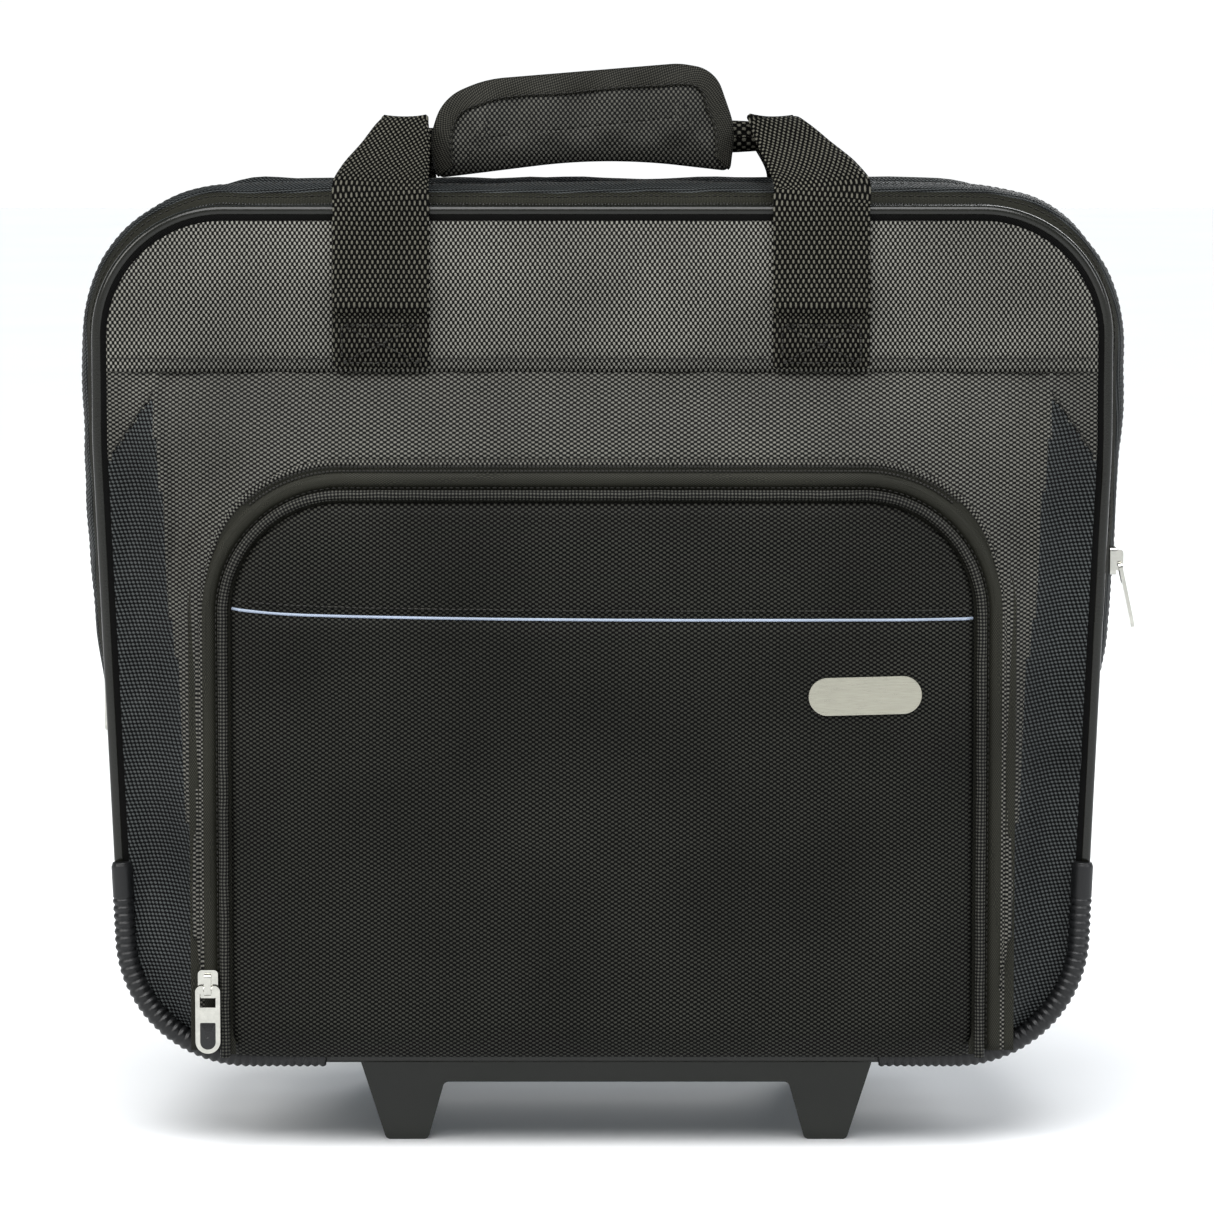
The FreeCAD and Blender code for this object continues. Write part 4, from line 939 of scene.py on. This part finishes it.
def guard_radius(distance):
    """Radius along a corner guard: a smooth collar, then rounded ribs."""
    if distance < COLLAR:
        return 0.0046 - 0.0006 * smooth(1 - distance / 0.002)
    wave = 0.5 - 0.5 * cos(2 * pi * (distance - COLLAR) / RIB_PITCH)
    return 0.0040 + 0.0008 * wave ** 0.6


def make_guards():
    """Ribbed rubber guards round the two bottom corners."""
    inset = 0.0035
    y, foot = FRONT_Y - 0.001, BOTTOM_Z + inset
    end = abs(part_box("corner_guard_right")[0][0])
    for side, name in ((-1, "left"), (1, "right")):
        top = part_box(f"corner_guard_{name}")[1][2]
        corners = [(side_half(top, inset), top), (side_half(BOTTOM_Z, inset), foot), (end, foot)]
        flat = rounded(corners, [0, CORNER_R - inset, 0], False, 0.0025)
        path = resample([Vector((side * p.x, y, p.y)) for p in flat], 0.00045)
        guard = tube(f"guard_{name}", path, guard_radius, RUBBER, "front_section", 20)
        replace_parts(guard, f"corner_guard_{name}")


# ---------------------------------------------------------------- the case's swelling sides, zips and back
# Each wall: its three cross-sections, the seed of its creases and the depth of its zip
MAIN_WALL = ((FRONT_RIM, MAIN_CROWN, MAIN_REAR), 41.0, FRONT_RIM[0] + 0.0092)
LAPTOP_WALL = ((LAPTOP_FRONT, LAPTOP_CROWN, REAR_RIM), 47.0, 0.029)


def wall_ring(wall, y, lift=0.0):
    """Points round a compartment's sewn wall at depth y: swollen, slack low down, creased along its depth."""
    sections, seed, zip_y = wall
    ring = case_ring(blend_sections(sections, y))
    share = (y - sections[0][0]) / (sections[2][0] - sections[0][0])
    middle = sin(pi * clamp(share))
    made = []
    for j, p in enumerate(ring):
        ahead = ring[(j + 1) % len(ring)] - ring[j - 1]
        out = Vector((-ahead.y, ahead.x)).normalized()
        if out.dot(p - Vector((0, 0.22))) < 0:
            out = -out
        lie = 0.0012 * soft_noise(p.x, y * 2.2, p.y, 0.045, seed)
        lie += 0.0008 * soft_noise(p.x, y * 0.6, p.y, 0.016, seed + 4)
        slack = -0.0035 * smooth((0.225 - p.y) / 0.05) * abs(out.x)
        tuck = -0.0034 * exp(-((y - zip_y) / 0.0078) ** 4)
        q = p + out * ((lie + slack + 0.0014) * middle - 0.0006 + tuck + lift)
        made.append(Vector((q.x, y, q.y)))
    return made


def gusset_surface(name, wall):
    """A compartment's sewn wall, all round."""
    rows, uv_rows = [], []
    for y in spread(wall[0][0][0], wall[0][2][0], 30):
        row = wall_ring(wall, y)
        row.append(row[0].copy())
        rows.append(row)
        uv_rows.append([(travelled, y) for travelled in travel(row)])
    piece = grid(name, rows, NYLON_SIDE, "case", uv_rows)
    thicken(piece, 0.0018, outward, inside=LINING)
    return piece


def gusset_line(wall, y, lift, low_z):
    """Line on a compartment's wall at depth y, over the top from low_z on the left to low_z on the right."""
    line = [p for p in wall_ring(wall, y, lift) if p.z >= low_z]
    split = max(range(len(line) - 1), key=lambda k: (line[k + 1] - line[k]).length)
    if (line[split + 1] - line[split]).length > 0.05:
        line = line[split + 1:] + line[:split + 1]
    return line


def outward(p):
    """Rough outward normal on the case's wall."""
    return Vector((p.x / 0.22, 0, (p.z - 0.22) / 0.19)).normalized()


def side_zip(name, wall, node):
    """Zip over the top of a compartment: tape, coil and two rows of stitches."""
    low_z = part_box(node)[0][2]
    half, y = 0.0078, wall[2]
    lines = [gusset_line(wall, y + half * k / 4, 0.0006, low_z) for k in range(-4, 5)]
    count = min(len(line) for line in lines)
    rows = [line[:count] for line in lines]
    uv_rows = [[(half * (k - 4) / 4, i * 0.005) for i in range(count)] for k in range(9)]
    tape = grid(name, rows, TAPE, "case", uv_rows)
    thicken(tape, 0.0005, outward)
    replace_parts(tape, node)
    places = []
    middle = resample(gusset_line(wall, y, 0.0008, low_z), 0.0014)
    for i, a in enumerate(middle[:-1]):
        across = BACKWARD if i % 2 else FRONTWARD
        places.append((a + across * 0.0013, across * 0.0016, outward(a)))
    threads(f"{name}_coil", places, COIL, "case", 0.00055)
    for k, offset in enumerate((-0.0060, 0.0060)):
        line = gusset_line(wall, y + offset, 0.0007, low_z)
        stitches(f"{name}_stitch_{k}", line, "case", outward, 0.0030, 0.0020)


def make_case_walls():
    """Both compartments' walls, their zips, seams and the cord between them."""
    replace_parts(gusset_surface("main_wall", MAIN_WALL), "main_gusset")
    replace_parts(gusset_surface("laptop_wall", LAPTOP_WALL), "laptop_gusset")
    side_zip("main_zip_tape", MAIN_WALL, "main_zip")
    side_zip("laptop_zip_tape", LAPTOP_WALL, "laptop_zip")
    for k, y in enumerate((-0.0290, -0.0235, -0.0030)):
        stitches(f"top_stitch_{k}", gusset_line(MAIN_WALL, y, -0.0002, 0.160), "case", outward, 0.0034,
                 0.0024, 0.0003)
    seam = gusset_line(MAIN_WALL, DIVIDER_BOX[0][1], 0.0008, 0.05)
    tube("divider_cord", seam, 0.0016, NYLON_SIDE, "case", 10, up=BACKWARD)


def make_back():
    """The back's cloth, under the rear piping."""
    inset = PIPING_R - 0.001 + 0.0015
    back_face = BACK_BOX[1][1]
    _, shoulder, foot, top, top_r = REAR_RIM
    low, high, r_low, r_high = BOTTOM_Z + inset, top - inset, CORNER_R - inset, top_r - inset

    def half_at(z):
        return round_ends(z, side_half(z, inset, foot, shoulder), low, high, r_low, r_high)

    def y_at(x, z):
        edge = min(half_at(z) - abs(x), high - z, z - low)
        soft = 0.0006 * soft_noise(x, 0, z, 0.06, 61.0)
        return back_face - 0.0010 + 0.0009 * smooth(edge / 0.02) + soft * smooth(edge / 0.03)

    rows = face_rows(low, high, half_at, y_at, r_low, r_high, 0.004, 110)
    panel = grid("back_cloth", [row[::-1] for row in rows], NYLON_SIDE, "case")
    thicken(panel, 0.0036, BACKWARD, inside=LINING)
    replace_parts(panel, "back_panel")
    make_trolley_cover(back_face)


def make_trolley_cover(back_face):
    """Sewn cover over the trolley tubes: a soft hump with a flange stitched to the back."""
    low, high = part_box("trolley_cover")
    half, reach = high[0], high[1] - back_face
    flange = half + 0.012
    rows = []
    heights = spread(low[2] - 0.006, high[2], 90)
    for z in heights:
        closing = smooth((z - low[2] + 0.004) / 0.018)
        row = []
        for x in spread(flange, -flange, 96):
            shoulder = clamp((half + 0.001 - abs(x)) / 0.011)
            hump = sqrt(1 - (1 - shoulder) ** 2)
            uneven = 0.0009 * soft_noise(x, 0, z, 0.045, 67.0) - 0.0016 * hill(x, 0.030)
            row.append(Vector((x, back_face + 0.0010 + ((reach - 0.0016) * closing + uneven) * hump, z)))
        rows.append(row)
    cover = grid("trolley_cloth", rows, NYLON_SIDE, "case")
    thicken(cover, 0.0014, BACKWARD)
    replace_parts(cover, "trolley_cover")
    for side in (-1, 1):
        line = [Vector((side * (half + 0.008), back_face + 0.0018, z)) for z in heights]
        stitches(f"cover_stitch_{side + 1}", line, "case", BACKWARD, 0.0032, 0.0022)


# ---------------------------------------------------------------- webbing handles and the padded wrap

def strap_x(side):
    """Middle of a handle's left (-1) or right (1) leg."""
    return side * STRAP_X - 0.0004


def strap_stations(side, front):
    """Stations of a leg of a webbing handle, from its sewn end up and in to the rolled bar."""
    x = strap_x(side)

    def proud(z, lift):
        return (x, FRONT_Y - 0.0018 - yoke_depth(x, z) - lift, z)

    if side < 0:
        lean = [(-0.0936, 0.0203), (-0.0918, 0.0187), (-0.0882, 0.0150), (-0.0852, 0.0110), (-0.0842, 0.0095)]
    else:
        lean = [(0.0928, 0.0204), (0.0892, 0.0190), (0.0818, 0.0156), (0.0738, 0.0116), (0.0715, 0.0098)]
    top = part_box("front_strap")[1][2]
    if front:
        line = [proud(SEAM_Z + rise, lift) for rise, lift in
                ((0.0012, 0.0), (0.010, 0.0001), (0.020, 0.0002), (0.0235, 0.0006), (0.0275, 0.0040),
                 (0.033, 0.0024), (0.042, 0.0008), (0.055, 0.0008))] + [(x, FRONT_Y - 0.0036, 0.4020)]
        over = [(-0.0622, 0.4105), (-0.0500, 0.4175), (-0.0320, 0.4268), (-0.0150, top + 0.0004),
                (-0.0085, top - 0.0012)]
    else:
        face = BACK_BOX[1][1] + 0.0028
        line = [(x, face, SEAM_Z + 0.0012), (x, face + 0.0004, SEAM_Z + 0.030), (x, face, SEAM_Z + 0.055),
                (x, face + 0.0002, 0.4030)]
        over = [(0.0530, 0.4110), (0.0420, 0.4170), (0.0300, 0.4240), (0.0185, top - 0.0060),
                (0.0120, top - 0.0080)]
    stations = [(Vector(p), STRAP_HALF, SIDEWAYS, 0.0) for p in line]
    for (cx, half), (y, z) in zip(lean, over):
        stations.append((Vector((cx, y, z)), half, SIDEWAYS, 0.18 * clamp((STRAP_HALF - half) / STRAP_HALF)))
    return smooth_stations(stations, 9)


def box_stitch(name, x, y_at, low, high, body, half=0.0165):
    """Square of stitches with a cross in it, which holds a strap's end."""
    a, b, c, d = (x - half, low), (x + half, low), (x + half, high), (x - half, high)
    for k, (p, q) in enumerate(((a, b), (b, c), (c, d), (d, a), (a, c), (b, d))):
        line = [Vector((u, y_at(x, v), v)) for u, v in zip(spread(p[0], q[0], 12), spread(p[1], q[1], 12))]
        out = FRONTWARD if line[0].y < 0 else BACKWARD
        stitches(f"{name}_{k}", line, body, out, 0.0027, 0.0019, 0.0004)


def rolled_bar(name, y, radius, squash, body):
    """The run of webbing rolled up between a handle's legs."""
    path = []
    for t in spread(0, 1, 60):
        z = lerp(0.4255, 0.4292, t) + 0.0010 * sin(t * pi)
        path.append(Vector((lerp(-0.0865, 0.0745, t), y, z)))
    bar = tube(name, path, lambda d: radius * (1 + 0.05 * sin(d * 190)), WEBBING, body, 20, up=UPWARD,
               squash=squash)


def make_straps():
    """The front and the rear webbing handle: two sewn legs each, and the roll between them."""
    for name, body, node, out in (("front", "front_section", "front_strap", FRONTWARD),
                                  ("rear", "case", "rear_strap", BACKWARD)):
        def face_at(x, z, front=name == "front"):
            return FRONT_Y - 0.0032 - yoke_depth(x, z) if front else BACK_BOX[1][1] + 0.0044

        pieces = []
        for side, label in ((-1, f"{name}_leg_left"), (1, f"{name}_leg_right")):
            leg = ribbon(label, strap_stations(side, name == "front"), 0.0024, WEBBING, body, up=out)
            pieces.append(leg)
            x = strap_x(side)
            box_stitch(f"{label}_stitch", x, face_at, SEAM_Z + 0.0035, SEAM_Z + 0.0195, body)
        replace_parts(pieces[0], node)
    rolled_bar("front_roll", -0.0050, 0.0066, 0.72, "front_section")
    rolled_bar("rear_roll", 0.0092, 0.0062, 0.62, "case")


WRAP_CORNERS = [(-0.0705, 0.4115), (-0.0742, 0.4270), (-0.0680, 0.4455), (-0.0500, 0.4532), (0.0330, 0.4600),
                (0.0480, 0.4575), (0.0565, 0.4330), (0.0545, 0.4145), (0.0020, 0.4205)]
WRAP_RADII = [0.003, 0.030, 0.020, 0.050, 0.030, 0.014, 0.030, 0.003, 0.260]
WRAP_SPINE = (Vector((-0.0480, 0.4290)), Vector((0.0320, 0.4375)))
WRAP_TAPE, WRAP_DEPTH = 0.0085, 0.0042


def wrap_outline():
    """The wrap's edge, in the XZ plane."""
    return rounded(WRAP_CORNERS, WRAP_RADII, True, 0.0012)


def to_spine(p):
    """Nearest point on the wrap's middle line."""
    a, b = WRAP_SPINE
    t = clamp((p - a).dot(b - a) / (b - a).length_squared)
    return a.lerp(b, t)


def wrap_puff(share, x, z, depth):
    """How far the wrap's cloth stands out, from its edge (0) to its middle line (1)."""
    flute = 0.0013 * sin(x * 225 + 0.6) * smooth(share * 1.8) * smooth((z - 0.4240) / 0.010)
    soft = 0.0004 * soft_noise(x, 0, z, 0.012, 71.0)
    return depth * sin(clamp(share * 1.15) * pi / 2) ** 0.75 + flute + soft


def wrap_half(name, edge_y, depth, direction, body, node):
    """One padded half of the wrap: direction is -1 for the front, +1 for the back."""
    outline = wrap_outline()
    rows = []
    for share in spread(0, 1, 20):
        row = []
        for p in outline:
            q = p.lerp(to_spine(p), share)
            row.append(Vector((q.x, edge_y + direction * wrap_puff(share, q.x, q.y, depth), q.y)))
        rows.append(row)
    piece = grid(name, rows, WRAP_CLOTH, body, closed=True)
    weld(piece, 0.0004)
    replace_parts(piece, node)
    return piece


def make_wrap():
    """The padded wrap round both handles: a cover in front with a bound edge, a back half and its side."""
    cover_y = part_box("grip_wrap_cover")[0][1] + 0.0022
    cover = wrap_half("wrap_front", cover_y, WRAP_DEPTH, -1, "wrap_cover", "grip_wrap_cover")
    thicken(cover, 0.0026, inside=LINING)
    back_low, back_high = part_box("grip_wrap")
    rear = wrap_half("wrap_back", back_high[1] - 0.0035, 0.0035, 1, "front_section", "grip_wrap")
    thicken(rear, 0.0020, BACKWARD, inside=LINING)
    wrap_binding(cover_y)
    wall = wrap_side(back_low[1] + 0.0004, back_high[1] - 0.0035)


def wrap_side(front_y, back_y):
    """Edge of the wrap's back half, bulging between its two faces."""
    outline = wrap_outline()
    rows = []
    for t in spread(0, 1, 8):
        swell = 0.0008 * sin(t * pi)
        row = []
        for p in outline:
            away = (p - to_spine(p)).normalized()
            q = p + away * (swell - 0.0012)
            row.append(Vector((q.x, lerp(front_y, back_y, t), q.y)))
        rows.append(row)
    return grid("wrap_edge", rows, WRAP_CLOTH, "front_section", closed=True)


def wrap_binding(edge_y):
    """Tape folded over the wrap cover's left, top and right edges, with its row of stitches."""
    outline = wrap_outline()
    start = min(range(len(outline)), key=lambda i: (outline[i] - Vector(WRAP_CORNERS[0])).length)
    end = min(range(len(outline)), key=lambda i: (outline[i] - Vector(WRAP_CORNERS[7])).length)
    run = outline[start:end + 1] if end > start else outline[start:] + outline[:end + 1]
    rows, uv_rows, seam = [], [], []
    steps = 12
    for k in range(steps + 1):
        t = k / steps
        row, uv_row = [], []
        for p, travelled in zip(run, travel(run)):
            spine = to_spine(p)
            span = (p - spine).length
            width = WRAP_TAPE + 0.0003 * sin(travelled * 160)
            inward = (t - 0.18) / 0.82
            share = clamp(inward) * width / span
            q = p.lerp(spine, share)
            away = (p - spine).normalized()
            if inward < 0:
                lift = 0.0008 + 0.0034 * (inward / 0.22)
                q = p + away * 0.0007
                y = edge_y + 0.0002 - lift * 0.6 + 0.0010 * (-inward / 0.22)
            else:
                lift = 0.0011 - 0.0005 * smooth((inward - 0.85) / 0.15)
                y = edge_y - wrap_puff(share, q.x, q.y, WRAP_DEPTH) - lift
                q = q + away * (0.0007 * (1 - inward))
            row.append(Vector((q.x, y, q.y)))
            uv_row.append((t * 0.0105, travelled))
        rows.append(row)
        uv_rows.append(uv_row)
        if k == steps - 1:
            seam = [p + Vector((0, -0.0002, 0)) for p in row]
    tape = grid("wrap_binding", rows, BINDING, "wrap_cover", uv_rows)
    thicken(tape, 0.0006)
    stitches("wrap_stitch", seam, "wrap_cover", FRONTWARD, 0.0030, 0.0020)


# ---------------------------------------------------------------- pieces inside the case
def slab(name, low, high, material, body, radius=0.004):
    """Cloth pocket or strap end in the XZ plane, with rounded edges."""
    (x0, y0, z0), (x1, y1, z1) = low, high
    outline = rounded([(x0, z0), (x0, z1), (x1, z1), (x1, z0)], [radius] * 4, True, 0.004)
    return pad(name, outline, ((x0 + x1) / 2, (z0 + z1) / 2), y0, y1, material, body)


def sewn_edges(name, low, high, body, away, inset=0.003):
    """Stitches down both sides and along the foot of a pocket."""
    y = low[1] - 0.0001 if away.y < 0 else high[1] + 0.0001
    left, right, foot, top = low[0] + inset, high[0] - inset, low[2] + inset, high[2] - 0.002
    path = [Vector((x, y, z)) for x, z in ((left, top), (left, foot), (right, foot), (right, top))]
    for k in range(3):
        stitches(f"{name}_stitch_{k}", path[k:k + 2], body, away, 0.0032, 0.0022, 0.0003)


def make_organiser():
    """The lid's organiser: a backing with a card pocket, a phone pocket and three pen loops."""
    low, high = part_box("organiser_pocket")
    face = high[1] - 0.002
    backing = slab("organiser_backing", (low[0], face, low[2]), high, LINING, "front_section")
    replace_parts(backing, "organiser_pocket")
    # Name, left, right, foot, top and depth
    pockets = [("card_pocket", -0.135, -0.020, 0.066, 0.170, 0.002),
               ("phone_pocket", 0.0, 0.070, 0.066, 0.190, 0.003)]
    for k, x in enumerate((0.080, 0.098, 0.116)):
        pockets.append((f"pen_loop_{k}", x, x + 0.014, 0.080, 0.175, 0.004))
    for name, x0, x1, z0, z1, depth in pockets:
        a, b = (x0, face - depth, z0), (x1, face, z1)
        slab(name, a, b, LINING, "front_section", 0.003)
        sewn_edges(name, a, b, "front_section", FRONTWARD, 0.002)
        hem = [Vector((x, face - depth, z1 - 0.0005)) for x in spread(x0, x1, 12)]
        tube(f"{name}_hem", hem, 0.0014, BINDING, "front_section", 10)


def make_laptop_pieces():
    """The laptop compartment's padded cushion and its strap."""
    low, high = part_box("laptop_pad")
    cushion = slab("laptop_cushion", low, high, LINING, "case", 0.005)
    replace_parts(cushion, "laptop_pad")
    low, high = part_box("laptop_strap")
    face = low[1] + 0.002
    anchor = slab("laptop_strap_anchor", (low[0], low[1], high[2] - 0.060), (high[0], face, high[2]), LINING,
                  "case")
    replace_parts(anchor, "laptop_strap")
    a, b = (low[0] + 0.006, face, low[2]), (high[0] - 0.006, high[1], high[2] - 0.010)
    slab("laptop_strap_tab", a, b, WEBBING, "case", 0.003)
    sewn_edges("laptop_strap_tab", a, b, "case", BACKWARD)


# ---------------------------------------------------------------- floor, light and camera
def make_stage():
    """The pale floor, which isn't a piece of the case."""
    bpy.ops.mesh.primitive_plane_add(size=14.0, location=(0, 3.0, 0))
    floor = bpy.context.object
    floor.name = "floor"
    material, tree, shader = new_material("floor_paper")
    tree.links.new(ramp(tree, blotches(tree, 3.0), [(0.3, (0.90, 0.91, 0.92)), (0.7, (0.93, 0.935, 0.94))]),
              shader.inputs["Base Color"])
    shader.inputs["Roughness"].default_value = 0.6
    shader.inputs["Emission Color"].default_value = (0.80, 0.92, 1.0, 1.0)
    shader.inputs["Emission Strength"].default_value = 0.03
    floor.data.materials.append(material)


def area_light(name, place, target, size, power, colour):
    """A soft box at one place, turned to a target."""
    data = bpy.data.lights.new(name, "AREA")
    data.shape = "RECTANGLE"
    data.size, data.size_y = size
    data.energy = power
    data.color = colour
    lamp = bpy.data.objects.new(name, data)
    lamp.location = place
    lamp.rotation_euler = (Vector(target) - Vector(place)).to_track_quat("-Z", "Y").to_euler()
    bpy.context.collection.objects.link(lamp)


def make_lights():
    """Pale walls all round, a dimmer ceiling and three soft boxes."""
    world = bpy.data.worlds.new("studio")
    bpy.context.scene.world = world
    world.use_nodes = True
    tree = world.node_tree
    coords = tree.nodes.new("ShaderNodeTexCoord")
    split = tree.nodes.new("ShaderNodeSeparateXYZ")
    tree.links.new(coords.outputs["Generated"], split.inputs[0])
    shade = ramp(tree, split.outputs[2], [(0.12, (1.02, 1.03, 1.04)), (0.26, (0.17, 0.19, 0.21))])
    tree.links.new(shade, tree.nodes["Background"].inputs["Color"])
    tree.nodes["Background"].inputs["Strength"].default_value = 1.0
    area_light("key", (-1.9, -1.2, 1.6), (0, 0, 0.22), (0.9, 1.3), 36.0, (1.0, 0.98, 0.95))
    area_light("fill", (2.0, -1.0, 1.5), (0, 0, 0.22), (0.9, 1.3), 27.0, (0.97, 0.98, 1.0))
    area_light("back", (0.9, 2.6, 1.4), (0, 0, 0.24), (1.2, 1.2), 18.0, (1.0, 1.0, 1.0))
    data = bpy.data.lights.new("ceiling", "SUN")
    data.energy = 3.5
    data.angle = radians(46)
    lamp = bpy.data.objects.new("ceiling", data)
    lamp.rotation_euler = (radians(32), radians(-4), 0)
    bpy.context.collection.objects.link(lamp)
    bpy.context.scene.view_settings.view_transform = "Standard"


def make_camera():
    """The camera, level with the case's handle and looking a little down."""
    data = bpy.data.cameras.new("camera")
    data.lens, data.sensor_width = 175.25, 36.0
    data.clip_start, data.clip_end = 0.1, 30.0
    camera = bpy.data.objects.new("camera", data)
    camera.location = (0.002, -2.562, 0.500)
    camera.rotation_euler = (radians(90 - 6.14), 0, 0)
    bpy.context.collection.objects.link(camera)
    bpy.context.scene.camera = camera


def main():
    """Builds the stage, then the case from front to back."""
    make_camera()
    make_lights()
    make_stage()
    dress_cad()
    make_pocket()
    make_yoke()
    make_flap()
    make_flap_hinge()
    make_front_zip()
    make_pull_insert()
    make_piping()
    make_guards()
    make_case_walls()
    make_back()
    make_organiser()
    make_laptop_pieces()
    make_straps()
    make_wrap()


main()
